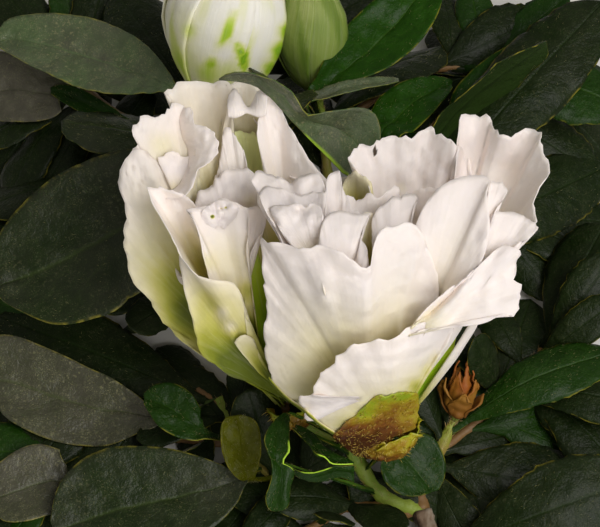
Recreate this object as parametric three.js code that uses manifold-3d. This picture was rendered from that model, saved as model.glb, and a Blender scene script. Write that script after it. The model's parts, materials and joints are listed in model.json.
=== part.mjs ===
// A cut flowering branch of a white double azalea, lying on a level surface.
// Millimetres, +Z up. The woody stem forks into leafy shoots; one shoot carries two open double blooms,
// two others carry greenish buds, and a short spur carries a dry bud.
import * as THREE from 'three';
import { mergeVertices } from 'three/addons/utils/BufferGeometryUtils.js';
import Module from 'manifold-3d';

const wasm = await Module();
wasm.setup();

// The line of sight: places seen from above and in front are given as [right, up, near],
// where near is towards the eye and the middle of the view floats above the surface.
const sightElevation = THREE.MathUtils.degToRad(62);
const sightHeight = 52;

// Gap left between pieces that touch, and the thickness of the blades
const seatGap = 0.3;
const bladeHalfThickness = 0.5;
const petioleHalfWidth = 0.8;
const petioleShare = 0.1;
const restingHeight = 0.55;

// Steps of the blade mesh, and of the limbs
const bladeSteps = 6;
const bladeStrips = 4;
const limbSides = 8;

const goldenAngle = THREE.MathUtils.degToRad(137.5);

const barkColour = 0x5b4433;
const shootColour = 0x6f8f2e;
const leafColour = 0x2c4a26;
const bloomColour = 0xf1ece4;
const budColour = 0xd9e3b4;
const calyxColour = 0x8f7a24;
const dryColour = 0x9c5a22;

// Where a place of the view lies over the surface
function seen(right, up, near) {
  const s = Math.sin(sightElevation);
  const c = Math.cos(sightElevation);
  return new THREE.Vector3(right, up * s - near * c, sightHeight + up * c + near * s);
}

// A direction of the view, as a unit vector
function seenWay(right, up, near) {
  return seen(right, up, near).sub(seen(0, 0, 0)).normalize();
}

function vec(x, y, z) {
  return new THREE.Vector3(x, y, z);
}

// A smooth line through the points, and its direction, at share s of its steps
function pointOn(points, s) {
  const spans = points.length - 1;
  const i = Math.min(Math.floor(s * spans), spans - 1);
  const t = s * spans - i;
  const p1 = points[i];
  const p2 = points[i + 1];
  const p0 = points[i - 1] ?? p1.clone().multiplyScalar(2).sub(p2);
  const p3 = points[i + 2] ?? p2.clone().multiplyScalar(2).sub(p1);
  const weights = [
    -0.5 * t + t * t - 0.5 * t ** 3,
    1 - 2.5 * t * t + 1.5 * t ** 3,
    0.5 * t + 2 * t * t - 1.5 * t ** 3,
    -0.5 * t * t + 0.5 * t ** 3,
  ];
  const at = vec(0, 0, 0);
  [p0, p1, p2, p3].forEach((p, k) => at.addScaledVector(p, weights[k]));
  return at;
}

function wayOn(points, s) {
  const step = 0.01;
  return pointOn(points, Math.min(1, s + step)).sub(pointOn(points, Math.max(0, s - step))).normalize();
}

// The part of v that is square to the unit vector n, as a unit vector
function squareTo(v, n) {
  return v.clone().addScaledVector(n, -v.dot(n)).normalize();
}

function geometryOf(places, faces) {
  const geometry = new THREE.BufferGeometry();
  geometry.setAttribute('position', new THREE.Float32BufferAttribute(places.flatMap((p) => p.toArray()), 3));
  geometry.setIndex(faces.flat());
  return geometry;
}

function solidOf(geometry) {
  const bare = geometry.clone();
  bare.deleteAttribute('normal');
  bare.deleteAttribute('uv');
  const merged = mergeVertices(bare, 1e-4);
  return new wasm.Manifold(new wasm.Mesh({
    numProp: 3,
    vertProperties: merged.attributes.position.array,
    triVerts: new Uint32Array(merged.index.array),
  }));
}

// The largest body of a solid, so that a cut leaves no loose chips
function largestOf(solid) {
  return solid.decompose().sort((a, b) => b.volume() - a.volume())[0];
}

function geometryFrom(solid) {
  const mesh = solid.getMesh();
  const places = [];
  for (let i = 0; i < mesh.numVert; i += 1) {
    places.push(vec(...mesh.vertProperties.subarray(i * mesh.numProp, i * mesh.numProp + 3)));
  }
  return geometryOf(places, [Array.from(mesh.triVerts)]);
}

// A closed skin over rings of the same count, with a flat cap at each end
function skinned(rings) {
  const sides = rings[0].length;
  const places = rings.flat();
  const faces = [];
  for (let i = 0; i + 1 < rings.length; i += 1) {
    for (let j = 0; j < sides; j += 1) {
      const k = (j + 1) % sides;
      const a = i * sides;
      const b = a + sides;
      faces.push([a + j, a + k, b + k], [a + j, b + k, b + j]);
    }
  }
  const last = (rings.length - 1) * sides;
  for (const [ring, start, turn] of [[rings[0], 0, 1], [rings.at(-1), last, 0]]) {
    const middle = ring.reduce((sum, p) => sum.add(p), vec(0, 0, 0)).divideScalar(sides);
    const centre = places.push(middle) - 1;
    for (let j = 0; j < sides; j += 1) {
      const k = (j + 1) % sides;
      faces.push(turn ? [centre, start + k, start + j] : [centre, start + j, start + k]);
    }
  }
  return geometryOf(places, faces);
}

// A tapering limb along a line; its ends are flat cuts square to it
function limb({ line, from, to, steps = 9, grow = 0 }) {
  const rings = [];
  let across = squareTo(vec(0.2, 0.1, 1), wayOn(line, 0));
  for (let i = 0; i <= steps; i += 1) {
    const s = i / steps;
    const way = wayOn(line, s);
    across = squareTo(across, way);
    const other = way.clone().cross(across);
    const radius = from + (to - from) * s + grow;
    const ring = [];
    for (let j = 0; j < limbSides; j += 1) {
      const angle = (2 * Math.PI * j) / limbSides;
      ring.push(pointOn(line, s)
        .addScaledVector(across, radius * Math.cos(angle))
        .addScaledVector(other, radius * Math.sin(angle)));
    }
    rings.push(ring);
  }
  return skinned(rings);
}

// Half the width of a blade at share s of its length: a narrow stalk, then a long egg shape
function halfWidth(s, width) {
  const b = Math.max(0, (s - petioleShare) / (1 - petioleShare));
  const shape = (b ** 0.95 * (1 - b) ** 0.52) / (0.646 ** 0.95 * 0.354 ** 0.52);
  return Math.max(s < 1 ? petioleHalfWidth * (1 - s) : 0, (width / 2) * shape);
}

// A thin blade along a line, its upper side towards face. It lies flat where it meets the surface below.
function blade({ points, width, face, tipFace = face, curl = 0.18, grow = 0 }) {
  const places = [];
  const ids = new Map();
  const idOf = (i, j, side) => {
    const margin = j === 0 || j === bladeStrips;
    return ids.get(i === bladeSteps ? 'tip' : `${i},${j},${margin ? 0 : side}`);
  };
  for (let i = 0; i <= bladeSteps; i += 1) {
    const s = i / bladeSteps;
    const way = wayOn(points, s);
    const normal = squareTo(face.clone().lerp(tipFace, s), way);
    const side = way.clone().cross(normal);
    const half = halfWidth(s, width) + (s < 1 ? grow : 0);
    for (let j = 0; j <= bladeStrips; j += 1) {
      const t = -1 + (2 * j) / bladeStrips;
      const middle = pointOn(points, s)
        .addScaledVector(way, s === 1 ? grow : 0)
        .addScaledVector(side, half * t)
        .addScaledVector(normal, -curl * half * t * t);
      middle.z = Math.max(middle.z, restingHeight);
      const thick = Math.abs(t) < 1 && s < 1 ? bladeHalfThickness * (1 - t * t) + grow * 1.3 : 0;
      for (const up of [1, -1]) {
        const key = i === bladeSteps ? 'tip' : `${i},${j},${Math.abs(t) === 1 ? 0 : up}`;
        if (ids.has(key)) continue;
        ids.set(key, places.length);
        places.push(middle.clone().addScaledVector(normal, up * thick));
      }
    }
  }
  const faces = [];
  const add = (...corners) => {
    const kept = corners.filter((c, k) => c !== corners[(k + 1) % corners.length]);
    if (kept.length > 2) faces.push(kept.slice(0, 3));
    if (kept.length > 3) faces.push([kept[0], kept[2], kept[3]]);
  };
  for (let j = 0; j < bladeStrips; j += 1) {
    for (let i = 0; i < bladeSteps; i += 1) {
      add(idOf(i, j, 1), idOf(i, j + 1, 1), idOf(i + 1, j + 1, 1), idOf(i + 1, j, 1));
      add(idOf(i, j, -1), idOf(i + 1, j, -1), idOf(i + 1, j + 1, -1), idOf(i, j + 1, -1));
    }
    add(idOf(0, j, 1), idOf(0, j, -1), idOf(0, j + 1, -1), idOf(0, j + 1, 1));
  }
  return geometryOf(places, faces);
}

// The stem and its shoots, each a line over the surface with its radius at both ends
const fork = vec(22, -25, 4);
const shoots = {
  stem: { line: [vec(38, -87, 2.35), vec(33, -64, 2.3), vec(27, -43, 2.7), fork], from: 2.3, to: 1.8 },
  front: { line: [fork, vec(14, -21.5, 5.5), vec(8, -13, 9.5)], from: 1.5, to: 1.3 },
  left: { line: [fork, vec(7, -23, 3), vec(-7, -16, 2.8), vec(-15, -3, 4.6)], from: 1.3, to: 1.0 },
  back: { line: [fork, vec(18, -4, 3.5), vec(7, 14, 5), vec(-8, 25, 8), vec(-15, 35, 12), vec(-17, 45, 21)],
    from: 1.6, to: 1.1 },
  right: { line: [vec(21, -19, 3.8), vec(25, -14, 5), vec(28, -8, 7)], from: 1.2, to: 1.0 },
  middle: { line: [vec(12, 8, 4.5), vec(17, 21, 8.5), vec(15, 30, 13)], from: 1.2, to: 0.9 },
  far: { line: [vec(3, 17.5, 6), vec(6, 33, 7), vec(4, 52, 13)], from: 1.2, to: 0.9 },
};

// Leaves in sight: the shoot and the share of it where they grow, where the tip lies, how far they bow,
// any place they pass on the way, their width, and where the upper side faces, all as the view has them
const seenLeaves = {
  leaf_left_upper: { on: 'back', at: 0.8, tip: [-57, -8.6, -42], bow: 4, width: 24, face: [0.1, 0.35, 1] },
  leaf_left_lower: { on: 'left', at: 1, tip: [-58, -24, -43], bow: 3.5, width: 15.5, face: [0.1, 0.3, 1] },
  leaf_left_under: { on: 'left', at: 0.95, tip: [-57, -10, -52], bow: 2, width: 15, face: [0, 0.4, 1] },
  leaf_left_corner: { on: 'left', at: 0.86, tip: [-57, -44, -34], bow: 1.5, width: 15, face: [0, 0.4, 1] },
  leaf_front_left: { on: 'left', at: 0.66, tip: [-46, -54, -26.5], bow: 3, width: 26, face: [-0.1, 0.35, 1] },
  leaf_small_left: { on: 'left', at: 0.8, tip: [-28.5, -24, -30], bow: 2, width: 10, face: [0, 0.8, 1] },
  leaf_young: { on: 'left', at: 0.6, tip: [-11.5, -27, -27], bow: 1, width: 7, face: [0.2, 0, 1] },
  leaf_round: { on: 'front', at: 0.7, tip: [25, -37.5, -16], bow: 1.5, width: 12.5, face: [0.2, 0.2, 1] },
  leaf_torn: { on: 'front', at: 0.98, tip: [-5.5, -42.5, -14], through: [[-3, -28.5, -20]], width: 7,
    face: [-1, 0.2, 0.6] },
  leaf_torn_half: { on: 'front', at: 0.85, tip: [-2, -35, -15], bow: 2, width: 5.5, face: [0, 1, 0.3] },
  leaf_strip: { on: 'front', at: 0.45, tip: [-0.5, -41.5, -22], bow: 1, width: 5, face: [0, 1, 0.4] },
  leaf_arched: { on: 'middle', at: 0.97, tip: [-13.5, 31.5, -6],
    through: [[8.9, 14.9, -27], [6.5, 23.5, -16], [-2, 28.3, -6]], width: 16, face: [0.5, -0.2, 1],
    tipFace: [0.2, 1, 0.15] },
  leaf_top_left: { on: 'back', at: 0.97, tip: [-58, 43, -58], bow: 4, width: 14, face: [0, 0.6, 1] },
  leaf_top_left_low: { on: 'back', at: 0.88, tip: [-58, 33, -75], bow: 2, width: 16, face: [0.1, 0.1, 1] },
  leaf_narrow_left: { on: 'back', at: 0.93, tip: [-48, 33, -55], bow: 2, width: 6, face: [0, 0.9, 0.6] },
  leaf_round_left: { on: 'back', at: 0.85, tip: [-45, 22, -62], bow: 2, width: 11, face: [0, 0.3, 1] },
  leaf_top: { on: 'back', at: 1, tip: [-36, 53, -66], bow: 3, width: 14, face: [0.3, -0.2, 1] },
  leaf_bright: { on: 'far', at: 1, tip: [26, 55, -50], bow: 4, width: 18, face: [-0.5, 0.2, 1] },
  leaf_bright_behind: { on: 'far', at: 0.9, tip: [41, 54, -68], bow: 3, width: 15, face: [-0.2, 0.2, 1] },
  leaf_edge_on: { on: 'far', at: 0.97, tip: [18.5, 34.6, -45], bow: 2.5, width: 8, face: [-0.1, 1, 0.25] },
  leaf_low_angle: { on: 'middle', at: 1, tip: [28, 34, -48], bow: 2, width: 9, face: [-0.5, 1, -0.4] },
  leaf_behind_bloom: { on: 'middle', at: 0.85, tip: [46, 41.5, -46], bow: 5, width: 17,
    face: [-0.5, 1, -0.4] },
  leaf_top_right: { on: 'middle', at: 0.75, tip: [59, 51, -62], bow: 3, width: 16, face: [-0.2, 0.2, 1] },
  leaf_right_upper: { on: 'middle', at: 0.5, tip: [60, 19, -65], bow: 3, width: 15, face: [-0.2, 0.1, 1] },
  leaf_right: { on: 'right', at: 0.8, tip: [57, -16, -37], bow: 4, width: 11, face: [-0.3, 0.6, 1] },
  leaf_right_lower: { on: 'right', at: 0.3, tip: [52, -42, -35.5], bow: 2, width: 15, face: [0, 0.3, 1] },
  leaf_right_corner: { on: 'stem', at: 0.85, tip: [59, -38, -24], bow: 4, width: 16, face: [0.2, 0.3, 1] },
};

// Leaves set round a shoot at the golden angle, below and behind those in sight. Those that would point
// into the surface are lifted, and all bow up by a share of their length.
const downwardShare = 0.25;
const whorlBow = 0.09;
const whorls = {
  leaf_stem: { on: 'stem', from: 0.22, to: 0.75, count: 5, turn: 1.1, splay: 58, length: 31, width: 13.5 },
  leaf_rear: { on: 'back', from: 0.84, to: 0.99, count: 4, turn: 2.2, splay: 66, length: 30, width: 13.5 },
  leaf_far: { on: 'far', from: 0.7, to: 0.98, count: 3, turn: 3.3, splay: 62, length: 30, width: 13.5 },
  leaf_middle: { on: 'middle', from: 0.6, to: 0.9, count: 2, turn: 2.2, splay: 60, length: 26, width: 11.5 },
};

function bladePoints({ on, at, tip, bow = 0, through, face }) {
  const base = pointOn(shoots[on].line, at);
  const end = seen(...tip);
  if (through) return [base, ...through.map((p) => seen(...p)), end];
  const chord = end.clone().sub(base);
  const up = squareTo(seenWay(...face), chord.clone().normalize());
  return [base, base.clone().add(end).divideScalar(2).addScaledVector(up, bow), end];
}

const leaves = {};
for (const [name, leaf] of Object.entries(seenLeaves)) {
  leaves[name] = {
    points: bladePoints(leaf),
    width: leaf.width,
    face: seenWay(...leaf.face),
    tipFace: seenWay(...(leaf.tipFace ?? leaf.face)),
  };
}
for (const [name, ring] of Object.entries(whorls)) {
  for (let k = 0; k < ring.count; k += 1) {
    const at = ring.from + ((ring.to - ring.from) * k) / (ring.count - 1);
    const base = pointOn(shoots[ring.on].line, at);
    const axis = wayOn(shoots[ring.on].line, at);
    const out = squareTo(vec(0, 0, 1), axis).applyAxisAngle(axis, ring.turn + goldenAngle * k);
    const splay = THREE.MathUtils.degToRad(ring.splay);
    const way = axis.clone().multiplyScalar(Math.cos(splay)).addScaledVector(out, Math.sin(splay));
    if (way.z < 0) way.z *= downwardShare;
    const end = base.clone().addScaledVector(way.normalize(), ring.length);
    end.z = Math.max(end.z, restingHeight);
    const face = axis.clone().add(vec(0, 0, 1)).normalize();
    const bow = squareTo(face, way).multiplyScalar(ring.length * whorlBow);
    const middle = base.clone().add(end).divideScalar(2).add(bow);
    leaves[`${name}_${k + 1}`] = { points: [base, middle, end], width: ring.width, face };
  }
}

// Double blooms: where the tube starts and points, its radius, and the petals' rim as
// [angle from the right towards the back, radius, height along the tube]
const blooms = {
  bloom_left: { base: [-1.8, -24.7, -28], way: [-0.3, 0.82, 0.48], throat: 3.6, heart: 42,
    rim: [[0, 18, 48], [55, 17, 54], [100, 18, 58], [150, 14.5, 54], [180, 15, 47], [225, 14, 47],
      [270, 12, 42], [315, 14, 44]] },
  bloom_right: { base: [15, -28.5, -24], way: [0.03, 0.83, 0.55], throat: 4.6, heart: 40,
    rim: [[0, 23, 50], [50, 23, 51], [90, 20, 49], [135, 22, 48], [180, 24, 44], [225, 20, 40],
      [270, 17, 41], [320, 23, 38]] },
};
const bloomSides = 24;
// Share of the height and share of the spread, from the tube to the rim, and back in over the heart
const bloomWall = [[0, 0], [0.12, 0.16], [0.3, 0.46], [0.52, 0.76], [0.78, 0.95], [1, 1]];
const bloomTop = [[0.8, 0.35], [0.4, 0.85]];

// A closed curve's value at an angle, smooth between its listed ones
function round(list, angle, column) {
  const n = list.length;
  let i = list.findIndex((row, k) => angle >= row[0] && angle < (list[k + 1]?.[0] ?? 360));
  i = Math.max(0, i);
  const next = list[(i + 1) % n];
  const t = (angle - list[i][0]) / ((i + 1 < n ? next[0] : 360) - list[i][0]);
  const smooth = t * t * (3 - 2 * t);
  return list[i][column] * (1 - smooth) + next[column] * smooth;
}

function bloomSolid({ base, way, throat, heart, rim }, grow = 0) {
  const foot = seen(...base);
  const axis = seenWay(...way);
  const right = squareTo(vec(1, 0, 0), axis);
  const back = axis.clone().cross(right);
  const ringAt = (radiusOf, heightOf) => Array.from({ length: bloomSides }, (_, j) => {
    const degrees = (360 * j) / bloomSides;
    const angle = THREE.MathUtils.degToRad(degrees);
    const radius = radiusOf(degrees) + grow;
    return foot.clone()
      .addScaledVector(axis, heightOf(degrees))
      .addScaledVector(right, radius * Math.cos(angle))
      .addScaledVector(back, radius * Math.sin(angle));
  });
  const rimRadius = (degrees) => round(rim, degrees, 1);
  const rimHeight = (degrees) => round(rim, degrees, 2) + grow;
  const rings = bloomWall.map(([up, out]) => ringAt(
    (d) => throat + (rimRadius(d) - throat) * out,
    (d) => rimHeight(d) * up - (up === 0 ? grow : 0),
  ));
  rings.push(...bloomTop.map(([out, sink]) => ringAt(
    (d) => rimRadius(d) * out,
    (d) => rimHeight(d) + (heart - rimHeight(d)) * sink,
  )));
  return solidOf(skinned(rings));
}

// Buds and the cups under the blooms are turned profiles: [radius, height], from foot to tip
const turned = {
  calyx_right: { foot: [14.4, -33.5, -27], way: [0.03, 0.83, 0.55], colour: calyxColour,
    profile: [[0, 0], [1.6, 0], [4.4, 2], [5.8, 5], [6, 8], [0, 6.5]] },
  calyx_left: { foot: [0.6, -28.8, -30], way: [-0.3, 0.82, 0.48], colour: calyxColour,
    profile: [[0, 0], [1.4, 0], [3.4, 2], [4.4, 5], [0, 4.6]] },
  bud_large: { foot: [-14.3, 31, -47], way: [0.02, 0.92, 0.36], colour: budColour,
    profile: [[0, 0], [2.3, 0], [6, 3], [9, 9], [10.2, 15], [9.4, 20], [7, 24], [3.5, 25.5], [0, 25]] },
  bud_slim: { foot: [3.4, 32.8, -54], way: [-0.12, 0.95, 0.25], colour: budColour,
    profile: [[0, 0], [1.6, 0], [4, 3.5], [6, 9], [6, 14], [4.5, 18.5], [2, 21], [0, 21.5]] },
  bud_dry: { foot: [28.3, -27.5, -34.5], way: [0.12, 0.9, 0.35], colour: dryColour,
    profile: [[0, 0], [1.4, 0], [2.7, 2.2], [2.9, 5.2], [1.8, 8.6], [0, 10]] },
};
const turnedSides = 10;

function turnedSolid({ foot, way, profile }, grow = 0) {
  const outline = profile.map(([r, h], k) => {
    const up = k > profile.length / 2 ? grow : -grow;
    return new THREE.Vector2(r === 0 ? 0 : r + grow, h + up);
  });
  const geometry = new THREE.LatheGeometry(outline, turnedSides);
  geometry.applyQuaternion(new THREE.Quaternion().setFromUnitVectors(vec(0, 1, 0), seenWay(...way)));
  geometry.translate(...seen(...foot).toArray());
  return solidOf(geometry);
}

// The stalks between a shoot and the cup or bud that it carries
const stalks = {
  stalk_right: { on: 'front', to: 'calyx_right', radius: 1.2 },
  stalk_left: { on: 'front', to: 'calyx_left', radius: 1.0 },
  stalk_bud_large: { on: 'back', to: 'bud_large', radius: 1.1 },
  stalk_bud_slim: { on: 'far', to: 'bud_slim', radius: 0.9 },
  stalk_bud_dry: { on: 'right', to: 'bud_dry', radius: 0.9 },
};

function stalkSolid({ on, to, radius }, grow = 0) {
  const start = pointOn(shoots[on].line, 1);
  const end = seen(...turned[to].foot);
  const line = [start, start.clone().add(end).divideScalar(2).addScaledVector(vec(0, 0, -1), 0.6), end];
  return solidOf(limb({ line, from: radius, to: radius, steps: 4, grow }));
}

const group = new THREE.Group();
const placed = [];

// Adds the piece that make gives, cut clear of every piece placed before it
function addPiece(name, make, colour, roughness) {
  let solid = make(0);
  for (const grown of placed) {
    if (grown.intersect(solid).volume() > 0) solid = solid.subtract(grown);
  }
  placed.push(make(seatGap));
  const material = new THREE.MeshStandardMaterial({ color: colour, roughness, metalness: 0 });
  const piece = new THREE.Mesh(geometryFrom(largestOf(solid)), material);
  piece.name = name;
  group.add(piece);
}

for (const [name, shoot] of Object.entries(shoots)) {
  const make = (grow) => solidOf(limb({ ...shoot, grow }));
  if (name === 'stem') addPiece(name, make, barkColour, 0.9);
  else addPiece(`shoot_${name}`, make, shootColour, 0.7);
}
for (const [name, shape] of Object.entries(turned)) {
  addPiece(name, (grow) => turnedSolid(shape, grow), shape.colour, 0.6);
}
for (const [name, stalk] of Object.entries(stalks)) {
  addPiece(name, (grow) => stalkSolid(stalk, grow), shootColour, 0.7);
}
for (const [name, leaf] of Object.entries(leaves)) {
  addPiece(name, (grow) => solidOf(blade({ ...leaf, grow })), leafColour, 0.45);
}
for (const [name, bloom] of Object.entries(blooms).reverse()) {
  addPiece(name, (grow) => bloomSolid(bloom, grow), bloomColour, 0.7);
}

// The origin is on the surface, under the middle of the outline
const box = new THREE.Box3().setFromObject(group, true);
const middle = box.getCenter(vec(0, 0, 0));
group.position.set(-middle.x, -middle.y, -box.min.z);

export default group;
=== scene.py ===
import json
import math

import bpy
import numpy as np
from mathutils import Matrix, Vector
from mathutils.bvhtree import BVHTree


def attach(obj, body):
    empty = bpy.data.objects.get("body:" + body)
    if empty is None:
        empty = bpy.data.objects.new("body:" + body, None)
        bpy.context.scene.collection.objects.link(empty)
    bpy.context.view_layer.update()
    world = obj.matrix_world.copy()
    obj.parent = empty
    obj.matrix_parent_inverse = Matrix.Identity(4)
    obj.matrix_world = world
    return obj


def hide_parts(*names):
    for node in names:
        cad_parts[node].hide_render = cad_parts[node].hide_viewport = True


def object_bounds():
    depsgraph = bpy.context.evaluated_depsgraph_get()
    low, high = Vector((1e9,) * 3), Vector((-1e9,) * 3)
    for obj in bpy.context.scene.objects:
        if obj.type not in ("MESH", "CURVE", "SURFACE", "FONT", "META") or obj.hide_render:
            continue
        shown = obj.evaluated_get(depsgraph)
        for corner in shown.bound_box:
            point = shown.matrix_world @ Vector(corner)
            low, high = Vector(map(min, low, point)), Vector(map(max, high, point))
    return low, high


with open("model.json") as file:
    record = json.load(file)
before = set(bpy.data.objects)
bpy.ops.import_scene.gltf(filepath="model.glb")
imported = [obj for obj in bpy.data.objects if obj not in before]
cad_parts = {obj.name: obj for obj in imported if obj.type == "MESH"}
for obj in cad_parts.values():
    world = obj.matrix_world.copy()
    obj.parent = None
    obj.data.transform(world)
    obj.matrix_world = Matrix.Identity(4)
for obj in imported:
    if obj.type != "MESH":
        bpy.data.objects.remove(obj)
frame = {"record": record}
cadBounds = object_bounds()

# Shapes are worked out in millimetres and scaled to metres when a mesh is made
metre = 0.001

# The picture is 600 x 527 pixels, seen from above and in front of the branch
picture = {"width": 600, "height": 527, "mmPerPixel": 0.165, "distance": 350.0, "elevation": 62.0,
           "sightHeight": 52.0, "sensor": 36.0}
sightSin = math.sin(math.radians(picture["elevation"]))
sightCos = math.cos(math.radians(picture["elevation"]))

# The stem's cut end is where the frame has its mount
stemStart = (38.0, -87.0, 2.35)
offset = np.array(frame["record"]["mounts"][0]["pos_m"]) / metre - stemStart


def vec(x, y, z):
    return np.array((x, y, z), float)


def unit(v):
    return v / np.maximum(np.linalg.norm(v, axis=-1, keepdims=True), 1e-9)


def squareTo(v, n):
    return unit(v - (v * n).sum(-1, keepdims=True) * n)


# A place given as millimetres to the right, up and near, as the camera has them
def fromSight(right, up, near):
    return vec(right, up * sightSin - near * sightCos,
               picture["sightHeight"] + up * sightCos + near * sightSin) + offset


def sightWay(right, up, near):
    return unit(fromSight(right, up, near) - fromSight(0, 0, 0))


towardsEye = sightWay(0, 0, 1)
eyePlace = fromSight(0, 0, picture["distance"])


# A place given as a pixel of the picture and how near it is
def onPicture(x, y, near):
    scale = picture["mmPerPixel"] * (picture["distance"] - near) / picture["distance"]
    return fromSight((x - picture["width"] / 2) * scale, (picture["height"] / 2 - y) * scale, near)


# The other way round: where places fall in the picture, in pixels
def toPicture(places):
    out = places - fromSight(0, 0, 0)
    scale = picture["mmPerPixel"] * (picture["distance"] - out @ towardsEye) / picture["distance"]
    return (picture["width"] / 2 + out[..., 0] / scale,
            picture["height"] / 2 - (out @ sightWay(0, 1, 0)) / scale)


# Smooth line through points, at the shares s of its spans
def lineAt(points, s):
    points = np.asarray(points, float)
    spans = len(points) - 1
    s = np.clip(np.asarray(s, float), 0, 1)
    i = np.minimum((s * spans).astype(int), spans - 1)
    t = (s * spans - i)[..., None]
    padded = np.vstack([2 * points[0] - points[1], points, 2 * points[-1] - points[-2]])
    p0, p1, p2, p3 = (padded[i + k] for k in range(4))
    return (p0 * (-0.5 * t + t * t - 0.5 * t ** 3) + p1 * (1 - 2.5 * t * t + 1.5 * t ** 3)
            + p2 * (0.5 * t + 2 * t * t - 1.5 * t ** 3) + p3 * (-0.5 * t * t + 0.5 * t ** 3))


def wayAt(points, s):
    return unit(lineAt(points, np.minimum(1, s + 0.01)) - lineAt(points, np.maximum(0, s - 0.01)))


# The same line with its steps evened out by length
def evenLine(points, count):
    fine = lineAt(points, np.linspace(0, 1, 24 * len(points)))
    run = np.concatenate([[0], np.cumsum(np.linalg.norm(np.diff(fine, axis=0), axis=1))])
    wanted = np.linspace(0, run[-1], count)
    return np.stack([np.interp(wanted, run, fine[:, k]) for k in range(3)], axis=1)


# Seeded unevenness in space, of about unit height
def waves(places, seed, size, count=16):
    dice = np.random.default_rng(seed)
    ways = unit(dice.normal(size=(count, 3))) * (2 * math.pi / (size * dice.uniform(0.6, 1.7, (count, 1))))
    return np.sin(places @ ways.T + dice.uniform(0, 2 * math.pi, count)).sum(-1) / math.sqrt(count)


# The same in layers, each with its size and height
def layeredWaves(places, seed, layers):
    return sum(height * waves(places, seed + k, size) for k, (size, height) in enumerate(layers))


def gridFaces(rows, columns, first=0, closed=False, flip=False):
    i, j = np.meshgrid(np.arange(rows - 1), np.arange(columns if closed else columns - 1), indexing="ij")
    k = (j + 1) % columns
    quads = np.stack([i * columns + j, i * columns + k, (i + 1) * columns + k, (i + 1) * columns + j], -1)
    quads = quads.reshape(-1, 4) + first
    return quads[:, ::-1] if flip else quads


# The two directions of a sheet: t from its foot to its tip, and w from side to side
def sheetGrid(size):
    rows, columns = size
    return np.linspace(0, 1, rows)[:, None], np.linspace(-1, 1, columns)[None]


# Surfaces that become one object, with numbers and a finish for each
class Pile:
    def __init__(self, *marks):
        self.points, self.faces, self.finishes, self.count = [], [], [], 0
        self.marks = {name: [] for name in marks}

    def add(self, points, faces, finish=0, **marks):
        points = points.reshape(-1, 3)
        for group in faces:
            self.faces.extend((group + self.count).tolist())
            self.finishes.extend([finish] * len(group))
        self.points.append(points)
        for name, values in self.marks.items():
            value = np.asarray(marks.get(name, 0.0), float).ravel()
            values.append(np.broadcast_to(value, (len(points),)))
        self.count += len(points)

    # A closed sheet about a middle surface; only the mark "under" differs between its two sides
    def addSheet(self, middle, thickness, finish=0, **marks):
        rows, columns = middle.shape[:2]
        normals = unit(np.cross(np.gradient(middle, axis=1), np.gradient(middle, axis=0)))
        half = normals * np.asarray(thickness)[..., None] / 2
        n = rows * columns
        top = np.arange(n).reshape(rows, columns)
        faces = [gridFaces(rows, columns), gridFaces(rows, columns, first=n, flip=True)]
        for rim in (top[0], top[:, -1], top[-1, ::-1], top[::-1, 0]):
            faces.append(np.stack([rim[:-1], rim[:-1] + n, rim[1:] + n, rim[1:]], -1))
        both = {name: np.tile(np.broadcast_to(values, (rows, columns)).ravel(), 2)
                for name, values in marks.items()}
        both["under"] = np.repeat([0.0, 1.0], n)
        self.add(np.stack([middle + half, middle - half]), faces, finish, **both)

    def make(self, name, *finishes):
        mesh = bpy.data.meshes.new(name)
        points = np.vstack(self.points)
        points[:, 2] = np.maximum(points[:, 2], 0)
        mesh.from_pydata((points * metre).tolist(), [], self.faces)
        for mark, values in self.marks.items():
            mesh.attributes.new(mark, "FLOAT", "POINT").data.foreach_set("value", np.concatenate(values))
        for finish in finishes:
            mesh.materials.append(finish)
        mesh.polygons.foreach_set("material_index", self.finishes)
        mesh.polygons.foreach_set("use_smooth", [True] * len(self.faces))
        mesh.update()
        piece = bpy.data.objects.new(name, mesh)
        bpy.context.scene.collection.objects.link(piece)
        print(f"{name}: {sum(len(face) - 2 for face in self.faces)} triangles")
        return piece


# A place and an axis that something stands on, such as a bloom, bud or cup, and the wall about that axis
class Stand:
    def __init__(self, shape):
        self.foot, self.axis = fromSight(*shape["foot"]), sightWay(*shape["way"])
        self.right = squareTo(vec(1, 0, 0), self.axis)
        self.back = np.cross(self.axis, self.right)

    def wall(self, height, radius, angle):
        around = self.right * np.cos(angle)[..., None] + self.back * np.sin(angle)[..., None]
        return self.foot + self.axis * height[..., None] + around * radius[..., None], around


# A socket's output, so that finishes can be worked out like sums
class Wire:
    def __init__(self, finish, socket):
        self.finish, self.socket = finish, socket

    def __add__(self, other):
        return self.finish.sum("ADD", self, other)

    def __sub__(self, other):
        return self.finish.sum("SUBTRACT", self, other)

    def __rsub__(self, other):
        return self.finish.sum("SUBTRACT", other, self)

    def __mul__(self, other):
        return self.finish.sum("MULTIPLY", self, other)

    def __abs__(self):
        return self.finish.sum("ABSOLUTE", self)

    __radd__, __rmul__ = __add__, __mul__


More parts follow.
